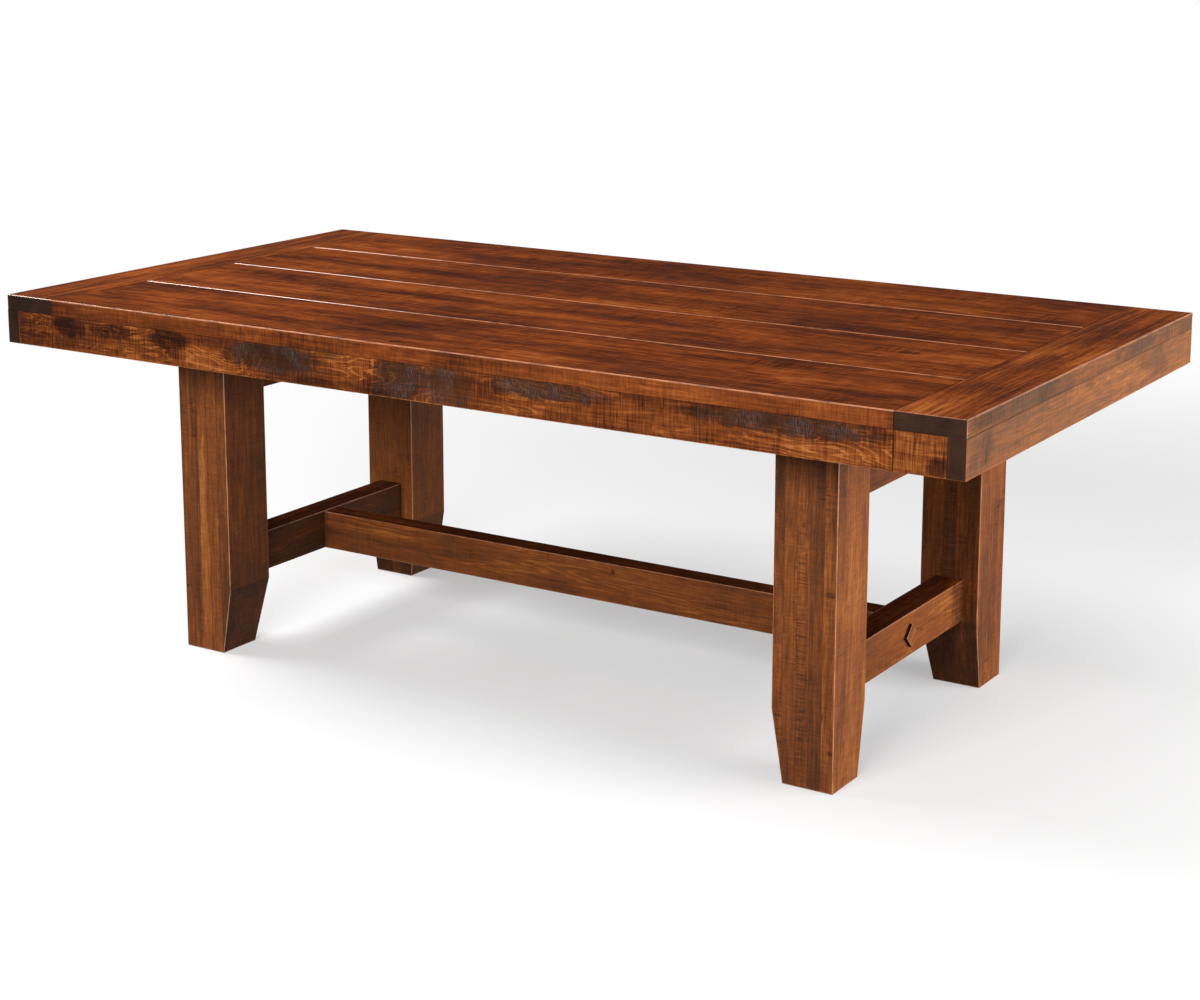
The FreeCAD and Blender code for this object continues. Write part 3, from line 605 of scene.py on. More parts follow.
def wood(name, colours, look):
    """A stained wood that follows a board's grain.

    Streaks, fibres and smoky patches lie along the grain and saw marks across it. Glaze, knots
    and worn edges, with a painted highlight on them, lie over them. Some of the patches are
    painted shade, and some finishes have a painted sheen mixed in.
    """
    material, recipe = new_finish(name)
    across = recipe.parts_of(recipe.written("grain", "Vector"))[Y]
    tone = recipe.written("tone")
    luck = tone
    if look["staves"]:
        count = (across + NARROWER_STAVE) / look["staves"]
        stave = recipe.vector(recipe.maths("FLOOR", count), tone * 57.0, 0.0)
        flat = {"noise_dimensions": "2D"}
        luck = recipe.node("ShaderNodeTexWhiteNoise", flat, {"Vector": stave})
    board = board_place(recipe, luck)
    ragged = recipe.noise(board, look["ragged"], 4.0, 0.65)
    wander = (recipe.noise(board, (1.3, 5.0, 5.0), 1.0) - MIDDLE) * 0.035
    drawn = recipe.moved(board, recipe.vector(0.0, wander, wander))

    grain = {}
    for kind, (wanders, per_metre, detail, roughness) in GRAIN.items():
        per_metre = per_metre or look["cloud"]
        grain[kind] = recipe.noise(drawn if wanders else board, per_metre, detail, roughness)
    curl = recipe.noise(board, look["curl"])
    rings = recipe.maths("SINE", curl * 170.0 + grain["fibres"] * 8.0).between(0.50, 1.0) - 0.2
    scored = saw_marks(recipe, board, ragged, look)

    depth = MIDDLE + look["shift"] + sum((grain[kind] - MIDDLE) * look[kind] for kind in GRAIN)
    depth = depth + rings * grain["smoke"].between(0.42, 0.60) * look["figure"]
    depth = depth + (luck - MIDDLE) * look["boards_apart"]
    depth = depth - recipe.written("soak") * 0.16 - scored * look["chatter"]
    # Single marks, some of them stain and some painted shade.
    for centre, reach, darker in look["patches"]:
        depth = depth - spot(recipe, ragged, centre, reach, look["crisp"]) * darker
    stains = (colours.dark, colours.deep, colours.middle, colours.light, colours.pale)
    tinted = [tuple(np.multiply(colour, look["tint"])) for colour in stains]
    colour = recipe.ramp(depth, list(zip(STAIN_STOPS, tinted)))
    height = grain["streaks"] * 0.4 + grain["fibres"] * 0.4 + grain["flecks"] * 0.3 - scored * 0.9

    # Painted sheen: a pale colour mixed evenly into the whole finish.
    if look["painted_sheen_share"]:
        colour = recipe.mix(look["painted_sheen_share"], colour, colours.painted_sheen)
    if look["glaze"]:
        colour = glazed_over(recipe, colour, board, ragged, across, look, colours)
    if look["staves"]:
        off_seam = recipe.maths("ABSOLUTE", recipe.maths("FRACT", count) - MIDDLE)
        colour = recipe.mix(off_seam.between(0.478, 0.496) * 0.55, colour, colours.dark)
    for centre, reach in look["knots"]:
        broken = grain["flecks"].between(0.35, 0.60) * 0.7 + 0.3
        dark = spot(recipe, ragged, centre, reach) * broken
        colour = recipe.mix(dark * 0.8, colour, colours.knot)
        height = height - dark * 0.4
    # Paler stain along the eased edges: the stain rubbed back, and a painted highlight on the
    # grooves and arrises. The coat below polishes the same edges.
    near = 1.0 - recipe.written("edge").between(look["bevel"] * 0.85, look["bevel"] * 1.15)
    worn_and_highlit = near * ragged.between(0.30, 0.60) * look["wear"]
    colour = recipe.mix(worn_and_highlit, colour, colours.worn_and_highlit)
    seam = 1.0 - recipe.written("seam").between(0.0003, 0.0018)
    colour = recipe.mix(seam * 0.85, colour, colours.dark)
    uneven = (grain["streaks"] - MIDDLE) * 0.2 + (grain["smoke"] - MIDDLE) * 0.2
    surface(
        recipe,
        Base_Color=colour,
        Roughness=look["roughness"] + uneven + scored * 0.12,
        Specular_IOR_Level=look["gloss"],
        Coat_Weight=near * look["coat"],
        Normal=recipe.bump(height, 0.7, look["relief"]),
        **EDGE_COAT,
    )
    return material


def end_grain(name, colours):
    """The cut end of a board: growth rings, pores and the marks of the saw."""
    material, recipe = new_finish(name)
    tone = recipe.written("tone")
    board = board_place(recipe, tone)
    parts = recipe.parts_of(recipe.written("grain", "Vector"))
    radius = recipe.length(recipe.vector(0.0, parts[Y] - 0.05, parts[Z] + 0.04))
    waver = recipe.noise(board, (30.0, 30.0, 30.0))
    rings = recipe.maths("SINE", radius * 1900.0 + waver * 7.0)
    pores = recipe.noise(board, (900.0, 900.0, 900.0), 1.0) - MIDDLE
    patches = recipe.noise(board, (40.0, 22.0, 22.0), 3.0) - MIDDLE
    marks = recipe.noise(board, (20.0, 30.0, 420.0), 1.0) - MIDDLE
    depth = MIDDLE + rings * 0.06 + pores * 0.7 + patches * 1.1 + marks * 0.5
    depth = depth + (tone - 0.62) * 0.9
    dark, pale = (tuple(v * share for v in colours.end_grain) for share in (0.45, 1.7))
    colour = recipe.ramp(depth, ((0.1, dark), (0.5, colours.end_grain), (0.95, pale)))
    near = 1.0 - recipe.written("edge").between(0.0003, 0.0020)
    surface(
        recipe,
        Base_Color=recipe.mix(near * waver * 0.6, colour, colours.light),
        Roughness=0.62 + pores * 0.2,
        Specular_IOR_Level=0.05,
        Normal=recipe.bump(depth, 0.6, 0.0002),
    )
    return material


def plated_steel(name, colours):
    """Zinc-plated steel with dull patches and a little rust in them."""
    material, recipe = new_finish(name)
    cloud = recipe.noise(recipe.here(), (90.0, 90.0, 90.0), 4.0, 0.6)
    grit = recipe.noise(recipe.here(), (1500.0, 1500.0, 1500.0))
    dull = tuple(value * 0.55 for value in colours.steel)
    rusty = cloud.between(0.62, 0.74)
    colour = recipe.mix(cloud.between(0.40, 0.66), colours.steel, dull)
    surface(
        recipe,
        Base_Color=recipe.mix(rusty * 0.5, colour, colours.rust),
        Metallic=1.0 - rusty * 0.6,
        Roughness=0.34 + cloud * 0.25,
        Normal=recipe.bump(grit + cloud, 0.4, 0.0001),
    )
    return material


def peg_wood(name, colours):
    """The turned end of a hardwood peg."""
    material, recipe = new_finish(name)
    pores = recipe.noise(recipe.here(), (1400.0, 1400.0, 60.0))
    patch = recipe.noise(recipe.here(), (160.0, 160.0, 20.0))
    dark = tuple(value * 0.4 for value in colours.peg)
    shade = (pores * 0.6 + patch * 0.6).between(0.45, 0.8)
    surface(
        recipe,
        Base_Color=recipe.mix(shade, colours.peg, dark),
        Roughness=0.5 + pores * 0.15,
        Normal=recipe.bump(pores, 0.5, 0.0001),
    )
    return material


OTHER_FINISHES = {"end grain": end_grain, "plated steel": plated_steel, "peg": peg_wood}


def finish_named(name, colours):
    """A finish by its name, made the first time that a piece asks for it."""
    found = bpy.data.materials.get(name)
    if found:
        return found
    if name in WOODS:
        return wood(name, colours, {**PLAIN_LOOK, **WOODS[name]})
    return OTHER_FINISHES[name](name, colours)


# ------------------------------------------------------------------------------- boards

# Lengths are in metres.
PLAIN_CELL = 0.006  # how far apart a skin's cuts may be
EASED_CUTS = (0.586, 0.88)  # where an eased edge is cut across, as shares of its radius
SUPPORT = 0.0012  # a cut this far in keeps the flat face flat up to its eased edge
BY_THE_KINK = 0.003  # a leg is also cut across this far above and below its kink
ON_THE_KINK = 0.0005  # a point this near a leg's tapered faces counts as on them
CLOSE = 1e-6  # a point this near an eased edge counts as on it
LEVEL_SEAM = 0.0007  # how much less dirt a seam holds where it lies level
BEVELLED, ROUNDED = 1.15, 2.0  # how round an eased edge is

# How a board is worked: its share of the saw marks' depth and of the plane waves' depth, and
# its saw marks per metre.
SAWN = (1.0, 0.6, 150.0)
PLANED = (0.2, 1.0, 90.0)
WAVES_PER_METRE = 22.0


def both(axis):
    """A board's two sides along an axis."""
    return (axis, LOW), (axis, HIGH)


def stations(low, high, eased, cell, marks):
    """Where a board is cut across along one axis.

    Cuts are close together by the eased edges and evenly spread between, and one is at each mark.
    """
    start, stop = low + eased[LOW], high - eased[HIGH]
    anchors = [start, start + SUPPORT, *marks, stop - SUPPORT, stop]
    cuts = [low, *(low + eased[LOW] * share for share in EASED_CUTS)]
    for left, right in zip(anchors, anchors[1:]):
        count = max(1, math.ceil((right - left) / cell))
        cuts.extend(np.linspace(left, right, count, endpoint=False))
    cuts.append(stop)
    cuts.extend(high - eased[HIGH] * share for share in reversed(EASED_CUTS))
    return np.array([*cuts, high])


def skin_of_box(cuts):
    """The points of a box's skin, its outward faces, and the axis that each face looks along."""
    counts = [len(places) for places in cuts]
    on_skin = np.zeros(counts, bool)
    on_skin[[0, -1]] = True
    on_skin[:, [0, -1]] = True
    on_skin[:, :, [0, -1]] = True
    numbers = np.full(counts, -1)
    numbers[on_skin] = np.arange(on_skin.sum())
    points = np.stack(np.meshgrid(*cuts, indexing="ij"), axis=-1)[on_skin]
    faces, looks_along = [], []
    for axis, side in (*both(X), *both(Y), *both(Z)):
        sheet = np.take(numbers, -side, axis=axis)
        ring = [sheet[:-1, :-1], sheet[1:, :-1], sheet[1:, 1:], sheet[:-1, 1:]]
        if (side == HIGH) == (axis == Y):
            ring.reverse()
        faces.append(np.stack(ring, axis=-1).reshape(-1, 4))
        looks_along.append(np.full(len(faces[-1]), axis))
    return points, np.concatenate(faces), np.concatenate(looks_along)


def eased_points(points, low, high, easing, roundness):
    """The points of a box's skin with its edges eased, from a bevel at 1 to a round at 2."""
    core = np.clip(points, low + easing[:, LOW], high - easing[:, HIGH])
    radius = np.where(points < core, easing[:, LOW], easing[:, HIGH])
    reach = (points - core) / radius
    away = (np.abs(reach) ** roundness).sum(axis=1, keepdims=True) ** (1 / roundness)
    return core + radius * reach / np.maximum(away, 1.0)


def write_on(mesh, name, kind, domain, values):
    """Writes one value for each point or face on a mesh, under a name."""
    attribute = mesh.attributes.new(name, kind, domain)
    field = "vector" if kind == "FLOAT_VECTOR" else "value"
    plain = np.asarray(values, np.int32 if kind == "INT" else np.float32)
    attribute.data.foreach_set(field, plain.ravel())


def add_piece(name, points, faces):
    """A mesh of these points and faces in the scene, as a piece of its own."""
    mesh = bpy.data.meshes.new(name)
    mesh.from_pydata(points, [], faces)
    piece = bpy.data.objects.new(name, mesh)
    bpy.context.scene.collection.objects.link(piece)
    return piece


def make_board(name, low, high, axes, tone, arris, ways):
    """A board's skin, with what its finish reads written on it."""
    easing = np.full((3, 2), float(arris))
    for (axis, side), radius in ways.get("easing", {}).items():
        easing[axis, side] = radius
    marks = ways.get("marks", {})
    cells = np.broadcast_to(ways.get("cell", PLAIN_CELL), 3)
    cuts = [
        stations(low[a], high[a], easing[a], cells[axes.index(a)], marks.get(a, ()))
        for a in (X, Y, Z)
    ]
    lattice, faces, looks_along = skin_of_box(cuts)
    gaps = np.stack([lattice - low, high - lattice], axis=-1)
    touching = gaps < easing + CLOSE
    seam = np.ones(len(lattice))
    for axis, side in ways.get("tight", ()):
        others = touching.sum(axis=(1, 2)) - touching[:, axis, side]
        away = gaps[:, axis, side] + (LEVEL_SEAM if axis == Z else 0.0)
        seam = np.where(others > 0, np.minimum(seam, away), seam)
        gaps[:, axis, side] = 1.0
    relief = np.ones(len(lattice))
    for axis, side in ways.get("hidden", ()):
        face = (low, high)[side][axis]
        relief[np.abs(lattice[:, axis] - face) < easing[axis, side] + CLOSE] = 0.0
    points = eased_points(lattice, low, high, easing, ways.get("roundness", ROUNDED))
    if "cut" in ways:
        points = ways["cut"](points)
    grain = (points - low)[:, axes]
    if "turn" in ways:
        points = ways["turn"](points)

    piece = add_piece(name, points.tolist(), faces.tolist())
    mesh = piece.data
    mesh.shade_smooth()
    write_on(mesh, "grain", "FLOAT_VECTOR", "POINT", grain)
    for label, values in (
        ("edge", np.sort(gaps.reshape(-1, 6), axis=1)[:, 1]),
        ("seam", seam),
        ("relief", relief),
        ("soak", ways["soak"](lattice) if "soak" in ways else np.zeros(len(points))),
        ("tone", np.full(len(points), tone)),
    ):
        write_on(mesh, label, "FLOAT", "POINT", values)
    kinds = dict(zip(axes, (END_GRAIN, EDGE_GRAIN, FACE_GRAIN)))
    write_on(mesh, "face_kind", "INT", "FACE", [kinds[axis] for axis in looks_along])
    return piece


def tree_named(name):
    """A geometry tree by its name, built the first time that a piece asks for it."""
    found = bpy.data.node_groups.get(name)
    if found:
        return found
    inputs, build = TREES[name]
    tree = bpy.data.node_groups.new(name, "GeometryNodeTree")
    recipe = Recipe(tree)
    for label, kind, default in inputs:
        socket = tree.interface.new_socket(label, in_out="INPUT", socket_type=kind)
        if default is not None:
            socket.default_value = default
    tree.interface.new_socket("Result", in_out="OUTPUT", socket_type="NodeSocketGeometry")
    entry = tree.nodes.new("NodeGroupInput")
    given = {label: Amount(recipe, entry.outputs[label]) for label, _, _ in inputs}
    recipe.node("NodeGroupOutput", None, {"Result": build(recipe, given)})
    return tree


KINDS_OF_GRAIN = {"Face grain": FACE_GRAIN, "Edge grain": EDGE_GRAIN, "End grain": END_GRAIN}
MARKS_ACROSS = 16.0  # how often a saw mark changes along its own length, per metre
BOARD_INPUTS = (
    ("Board", "NodeSocketGeometry", None),
    ("Mark depth", "NodeSocketFloat", 0.0003),
    ("Marks per metre", "NodeSocketFloat", SAWN[-1]),
    ("Wave depth", "NodeSocketFloat", 0.0002),
    ("Waves per metre", "NodeSocketFloat", WAVES_PER_METRE),
    ("Seed", "NodeSocketInt", 0),
    *((label, "NodeSocketMaterial", None) for label in KINDS_OF_GRAIN),
)


def work_surface(recipe, given):
    """Saw marks across the grain and long waves along it, cut into a board's skin."""

    def on_board(label, kind):
        settings = {"data_type": kind}
        return recipe.node("GeometryNodeInputNamedAttribute", settings, {"Name": label})

    def pattern(along, across, seed, detail):
        per_metre = recipe.vector(along, across, across)
        place = recipe.scaled(on_board("grain", "FLOAT_VECTOR"), per_metre)
        inputs = {"Vector": place, "W": seed, "Scale": 1.0, "Detail": detail}
        return recipe.node("ShaderNodeTexNoise", {"noise_dimensions": "4D"}, inputs)

    across = given["Waves per metre"]
    marks = pattern(given["Marks per metre"], MARKS_ACROSS, given["Seed"], 2.0)
    waves = pattern(across * 0.25, across, given["Seed"] + 40.0, 1.0)
    depth = marks.between(0.30, 0.72) * given["Mark depth"]
    depth = (depth + waves.between(0.25, 0.75) * given["Wave depth"]) * on_board("relief", "FLOAT")
    outward = recipe.node("GeometryNodeInputNormal")
    inward = recipe.node(
        "ShaderNodeVectorMath", {"operation": "SCALE"}, {0: outward, "Scale": 0.0 - depth}
    )
    shaped = recipe.node(
        "GeometryNodeSetPosition", None, {"Geometry": given["Board"], "Offset": inward}
    )
    whole = recipe.node("GeometryNodeRealizeInstances", None, {"Geometry": shaped})
    for label, kind in KINDS_OF_GRAIN.items():
        chosen = recipe.node(
            "FunctionNodeCompare",
            {"data_type": "INT", "operation": "EQUAL"},
            {"A": on_board("face_kind", "INT"), "B": kind},
        )
        inputs = {"Geometry": whole, "Selection": chosen, "Material": given[label]}
        whole = recipe.node("GeometryNodeSetMaterial", None, inputs)
    return whole


DOWN = (0.0, 0.0, -1.0)
ANY_TURN = 6.283
FASTENER_INPUTS = (
    ("Places", "NodeSocketGeometry", None),
    ("Fastener", "NodeSocketObject", None),
    ("Facing", "NodeSocketVector", DOWN),
    ("Turn", "NodeSocketFloat", ANY_TURN),
    ("Seed", "NodeSocketInt", 0),
    ("Finish", "NodeSocketMaterial", None),
)


def set_fasteners(recipe, given):
    """One fastener at each point, facing one way and turned by chance about its own axis."""
    head = recipe.node("GeometryNodeObjectInfo", None, {"Object": given["Fastener"]}, "Geometry")
    facing = recipe.node(
        "FunctionNodeAlignRotationToVector", {"axis": "Z"}, {"Vector": given["Facing"]}
    )
    chance = recipe.node(
        "FunctionNodeRandomValue",
        {"data_type": "FLOAT"},
        {2: 0.0, 3: given["Turn"], "Seed": given["Seed"]},
        1,
    )
    about = recipe.node(
        "FunctionNodeAxisAngleToRotation", None, {"Axis": (0.0, 0.0, 1.0), "Angle": chance}
    )
    turned = recipe.node(
        "FunctionNodeRotateRotation",
        {"rotation_space": "LOCAL"},
        {"Rotation": facing, "Rotate By": about},
    )
    inputs = {"Points": given["Places"], "Instance": head, "Rotation": turned}
    spread = recipe.node("GeometryNodeInstanceOnPoints", None, inputs)
    whole = recipe.node("GeometryNodeRealizeInstances", None, {"Geometry": spread})
    return recipe.node(
        "GeometryNodeSetMaterial", None, {"Geometry": whole, "Material": given["Finish"]}
    )


TREES = {
    "Worked surface": (BOARD_INPUTS, work_surface),
    "Fasteners": (FASTENER_INPUTS, set_fasteners),
}


def work_out(piece, tree, values):
    """Runs a node tree on a piece once, and keeps the plain mesh that comes out."""
    modifier = piece.modifiers.new(tree.name, "NODES")
    modifier.node_group = tree
    for item in tree.interface.items_tree:
        if item.item_type == "SOCKET" and item.in_out == "INPUT" and item.name in values:
            modifier[item.identifier] = values[item.name]
    depsgraph = bpy.context.evaluated_depsgraph_get()
    worked = bpy.data.meshes.new_from_object(
        piece.evaluated_get(depsgraph), preserve_all_data_layers=True, depsgraph=depsgraph
    )
    piece.modifiers.remove(modifier)
    rough = piece.data
    piece.data = worked
    bpy.data.meshes.remove(rough)
    worked.name = piece.name


def fit_board(context, node, ending, axes, tone, finishes, slot, **ways):
    """Makes a board in its node's box, works and stains it, and puts it in the node's place.

    axes are the ones along, across and through the board. finishes are those of its faces and
    edges, and of its ends where they aren't plain end grain. ways may give spans where the board
    leaves the box, the cell of its skin, the arris of its edges, easing for single sides, its
    roundness, hidden sides, tight sides whose edges get neither wear nor painted highlight, marks
    to cut at, a cut that leaves the grain, what the cut faces soak up, a turn that takes the grain
    along, and how it is worked.
    """
    sizes = context.scene.table_sizes
    low, high = (np.array(corner, float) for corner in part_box(node))
    for axis, (first, last) in ways.get("spans", {}).items():
        low[axis], high[axis] = first, last
    arris = ways.get("arris", sizes.arris)
    piece = make_board(node + ending, low, high, axes, tone, arris, ways)

    marks, waves, marks_per_metre = ways.get("worked", PLANED)
    values = {
        "Mark depth": sizes.saw_depth * marks,
        "Marks per metre": marks_per_metre,
        "Wave depth": sizes.plane_depth * waves,
        "Waves per metre": WAVES_PER_METRE,
        "Seed": sizes.seed + len(piece.name) + len(bpy.data.objects),
    }
    for label, name in zip(KINDS_OF_GRAIN, (*finishes, "end grain")):
        values[label] = finish_named(name, context.scene.table_colours)
    work_out(piece, tree_named("Worked surface"), values)
    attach(piece, "root")
    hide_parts(node)


def low_of(node, axis):
    """A node's lowest place along an axis."""
    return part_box(node)[LOW][axis]


def high_of(node, axis):
    """A node's highest place along an axis."""
    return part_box(node)[HIGH][axis]


def middle_of(node, axis):
    """The middle of a node along an axis."""
    return (low_of(node, axis) + high_of(node, axis)) / 2


def plank_joints():
    """Where the planks' edges lie, from the front of the table to its back."""
    return [low_of(name, Y) for name in PLANKS] + [high_of(PLANKS[-1], Y)]


def between_legs(sizes):
    """The span from a front leg to the back one, run on a little into both."""
    return high_of("front_left_leg", Y) - sizes.bury, low_of("back_left_leg", Y) + sizes.bury


# ---------------------------------------------------------------------------- operators


class TABLE_OT_lay_planks(Operator):
    """Lays the four planks of the tabletop between the breadboard ends"""

    bl_idname = "table.lay_planks"
    bl_label = "Lay the planks"

    def execute(self, context):
        sizes = context.scene.table_sizes
        joints = plank_joints()
        ends = (high_of("left_breadboard_end", X), low_of("right_breadboard_end", X))
        outer_sides = {PLANKS[0]: (Y, LOW), PLANKS[-1]: (Y, HIGH)}
        tones = (0.42, 0.61, 0.37, 0.55)
        for name, tone, joint, next_joint in zip(PLANKS, tones, joints, joints[1:]):
            easing = {side: sizes.groove for side in (*both(Y), (Z, HIGH))}
            easing.update({side: sizes.seam for side in both(X)})
            hidden = {*both(X), *both(Y), (Z, LOW)}
            if name in outer_sides:
                easing[outer_sides[name]] = sizes.top_edge
                easing[(Z, LOW)] = sizes.seam
                hidden.remove(outer_sides[name])
            finishes = ("plank top", "plank edge")
            fit_board(
                context, name, "_board", (X, Y, Z), tone, finishes, "plank_wood",
                spans={X: ends, Y: (joint, next_joint)}, cell=(0.006, 0.007, 0.006),
                easing=easing, roundness=BEVELLED, hidden=hidden, tight=(*both(X), (Z, LOW)),
            )
        return {"FINISHED"}


class TABLE_OT_fit_breadboard_ends(Operator):
    """Fits the two breadboard ends across the planks"""

    bl_idname = "table.fit_breadboard_ends"
    bl_label = "Fit the breadboard ends"

    def execute(self, context):
        sizes = context.scene.table_sizes
        for end, inner, tone in (("left", HIGH, 0.33), ("right", LOW, 0.58)):
            name, seams = end + "_breadboard_end", ((X, inner), (Z, LOW))
            finishes = ("breadboard top", "breadboard edge")
            fit_board(
                context, name, "_board", (Y, X, Z), tone, finishes, "breadboard_wood",
                cell=(0.006, 0.006, 0.005), arris=sizes.top_edge, roundness=BEVELLED,
                easing={side: sizes.seam for side in seams}, hidden=seams, tight=seams,
            )
        return {"FINISHED"}


class TABLE_OT_hang_skirts(Operator):
    """Hangs the rough-sawn skirts and corner blocks under the edges of the top"""

    bl_idname = "table.hang_skirts"
    bl_label = "Hang the skirts"

    def execute(self, context):
        sizes = context.scene.table_sizes
        along, over = (X, Z, Y), (Y, Z, X)
        boards = [
            ("front_skirt", along, 0.31, "sawn skirt"),
            ("back_skirt", along, 0.66, "sawn skirt"),
            ("left_end_skirt", over, 0.36, "end skirt"),
            ("right_end_skirt", over, 0.62, "end skirt"),
            ("front_left_corner_block", along, 0.35, "sawn skirt"),
            ("front_right_corner_block", along, 0.52, "sawn block"),
            ("back_left_corner_block", along, 0.48, "sawn block"),
            ("back_right_corner_block", along, 0.63, "sawn skirt"),
        ]
        for name, axes, tone, finish in boards:
            fit_board(
                context, name, "_board", axes, tone, (finish, finish), "skirt_wood",
                cell=(0.0032, 0.004, 0.008), worked=SAWN, hidden=((Z, HIGH),),
                easing={side: sizes.seam for side in (*both(X), *both(Y), (Z, HIGH))},
                tight=((Z, HIGH), *(both(X) if axes == along else ())),
            )
        return {"FINISHED"}


class TABLE_OT_stand_legs(Operator):
    """Stands the four legs, each tapered on its two inner faces near the floor"""

    bl_idname = "table.stand_legs"
    bl_label = "Stand the legs"

    def execute(self, context):
        sizes = context.scene.table_sizes
        kink = sizes.taper_height
        tones = {
            "front_left_leg": 0.37,
            "front_right_leg": 0.81,
            "back_left_leg": 0.12,
            "back_right_leg": 0.52,
        }
        for name, tone in tones.items():
            low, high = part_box(name)
            outer = [high[a] if low[a] > 0 else low[a] for a in (X, Y)]
            width = high[X] - low[X]

            def cut(points, outer=outer, width=width):
                share = np.clip((kink - points[:, Z]) / kink, 0.0, 1.0) * sizes.taper / width
                tapered = points.copy()
                for axis in (X, Y):
                    tapered[:, axis] = outer[axis] + (points[:, axis] - outer[axis]) * (1 - share)
                return tapered

            def soak(lattice, outer=outer, width=width):
                far = np.abs(lattice[:, (X, Y)] - outer) > width - ON_THE_KINK
                return far.any(axis=1) & (lattice[:, Z] < kink + ON_THE_KINK)

            fit_board(
                context, name, "_post", (Z, X, Y), tone, ("leg", "leg"), "leg_wood",
                cell=0.0045, easing={(Z, HIGH): sizes.seam}, hidden=both(Z), cut=cut, soak=soak,
                marks={Z: (kink - BY_THE_KINK, kink, kink + BY_THE_KINK)},
            )
        return {"FINISHED"}


class TABLE_OT_fit_end_rails(Operator):
    """Fits the end rails between each pair of legs, high under the top"""

    bl_idname = "table.fit_end_rails"
    bl_label = "Fit the end rails"

    def execute(self, context):
        sizes = context.scene.table_sizes
        for end, tone in (("left", 0.29), ("right", 0.66)):
            fit_board(
                context, end + "_end_rail", "_board", (Y, Z, X), tone, ("rail", "rail"),
                "rail_wood", spans={Y: between_legs(sizes)}, cell=(0.008, 0.007, 0.006),
                easing={(Z, HIGH): sizes.seam}, hidden=(*both(Y), (Z, HIGH)),
            )
        return {"FINISHED"}


class TABLE_OT_fit_stretchers(Operator):
    """Fits the two cross stretchers, and the long one between them"""

    bl_idname = "table.fit_stretchers"
    bl_label = "Fit the stretchers"

    def execute(self, context):
        sizes = context.scene.table_sizes
        between_cross_stretchers = (
            high_of("left_cross_stretcher", X) - sizes.bury,
            low_of("right_cross_stretcher", X) + sizes.bury,
        )
        for name, axes, tone, span in (
            ("left_cross_stretcher", (Y, Z, X), 0.14, between_legs(sizes)),
            ("right_cross_stretcher", (Y, Z, X), 0.77, between_legs(sizes)),
            ("long_stretcher", (X, Z, Y), 0.50, between_cross_stretchers),
        ):
            finishes = ("stretcher", "stretcher top")
            fit_board(
                context, name, "_board", axes, tone, finishes, "stretcher_wood",
                spans={axes[0]: span}, hidden=both(axes[0]),
            )
        return {"FINISHED"}


class TABLE_OT_set_bolt_caps(Operator):
    """Sets a square cap on its point over each tie bolt"""

    bl_idname = "table.set_bolt_caps"
    bl_label = "Set the bolt caps"

    def execute(self, context):
        sizes = context.scene.table_sizes
        for end, inner, tone in (("left", HIGH, 0.33), ("right", LOW, 0.70)):
            name = end + "_bolt_cap"
            centre = [middle_of(name, axis) for axis in (X, Y, Z)]
            half = (high_of(name, Z) - low_of(name, Z)) / 2 / math.sqrt(2)

            def turn(points, centre=centre):
                y, z = points[:, Y] - centre[Y], points[:, Z] - centre[Z]
                turned = points.copy()
                turned[:, Y] = centre[Y] + (y - z) * math.sqrt(0.5)
                turned[:, Z] = centre[Z] + (y + z) * math.sqrt(0.5)
                return turned

            finishes = ("stretcher", "cap side", "cap side")
            fit_board(
                context, name, "_plate", (Y, Z, X), tone, finishes, "cap_wood",
                spans={axis: (centre[axis] - half, centre[axis] + half) for axis in (Y, Z)},
                cell=0.003, arris=0.0008, turn=turn,
                easing={(X, inner): sizes.seam}, hidden=((X, inner),),
            )
        return {"FINISHED"}


class TABLE_OT_fit_battens(Operator):
    """Fits the battens and the end cleats under the top"""

    bl_idname = "table.fit_battens"
    bl_label = "Fit the battens and cleats"

    def execute(self, context):
        sizes = context.scene.table_sizes
        for number, name in enumerate((*BATTENS, "left_cleat", "right_cleat")):
            tone = 0.2 + 0.13 * number
            fit_board(
                context, name, "_strip", (Y, X, Z), tone, ("batten", "batten"), "batten_wood",
                arris=0.003, easing={(Z, HIGH): sizes.seam}, hidden=((Z, HIGH),), worked=SAWN,
            )
        return {"FINISHED"}


# ---------------------------------------------------------------------------- fasteners

# The heads of the fasteners. Each ring is a height, a radius and how many flats it has.
SCREW_RINGS = (
    (0.0, 0.0058, 0), (0.0008, 0.0060, 0), (0.0022, 0.0052, 0),
    (0.0032, 0.0032, 0), (0.0034, 0.0021, 6), (0.0014, 0.0019, 6),
)
BOLT_RINGS = (
    (0.0, 0.0120, 0), (0.0016, 0.0120, 0), (0.0020, 0.0116, 0), (0.0020, 0.0065, 6),
    (0.0062, 0.0065, 6), (0.0072, 0.0060, 0), (0.0074, 0.0030, 0),
)
PEG_RINGS = ((-0.0040, 0.0048, 0), (0.0003, 0.0048, 0), (0.0008, 0.0044, 0), (0.0011, 0.0024, 0))
SUNK = 0.0002  # how deep the screws' heads are let in
LAST_SCREW = 0.49  # how far out along a batten the last screws are
CLEAT_SCREWS = (-0.85, 0.0, 0.85)  # where a cleat's screws are, as shares of its half length
HALF_OVER_FLATS = 0.433  # of a hexagon, as a share of its width over its corners


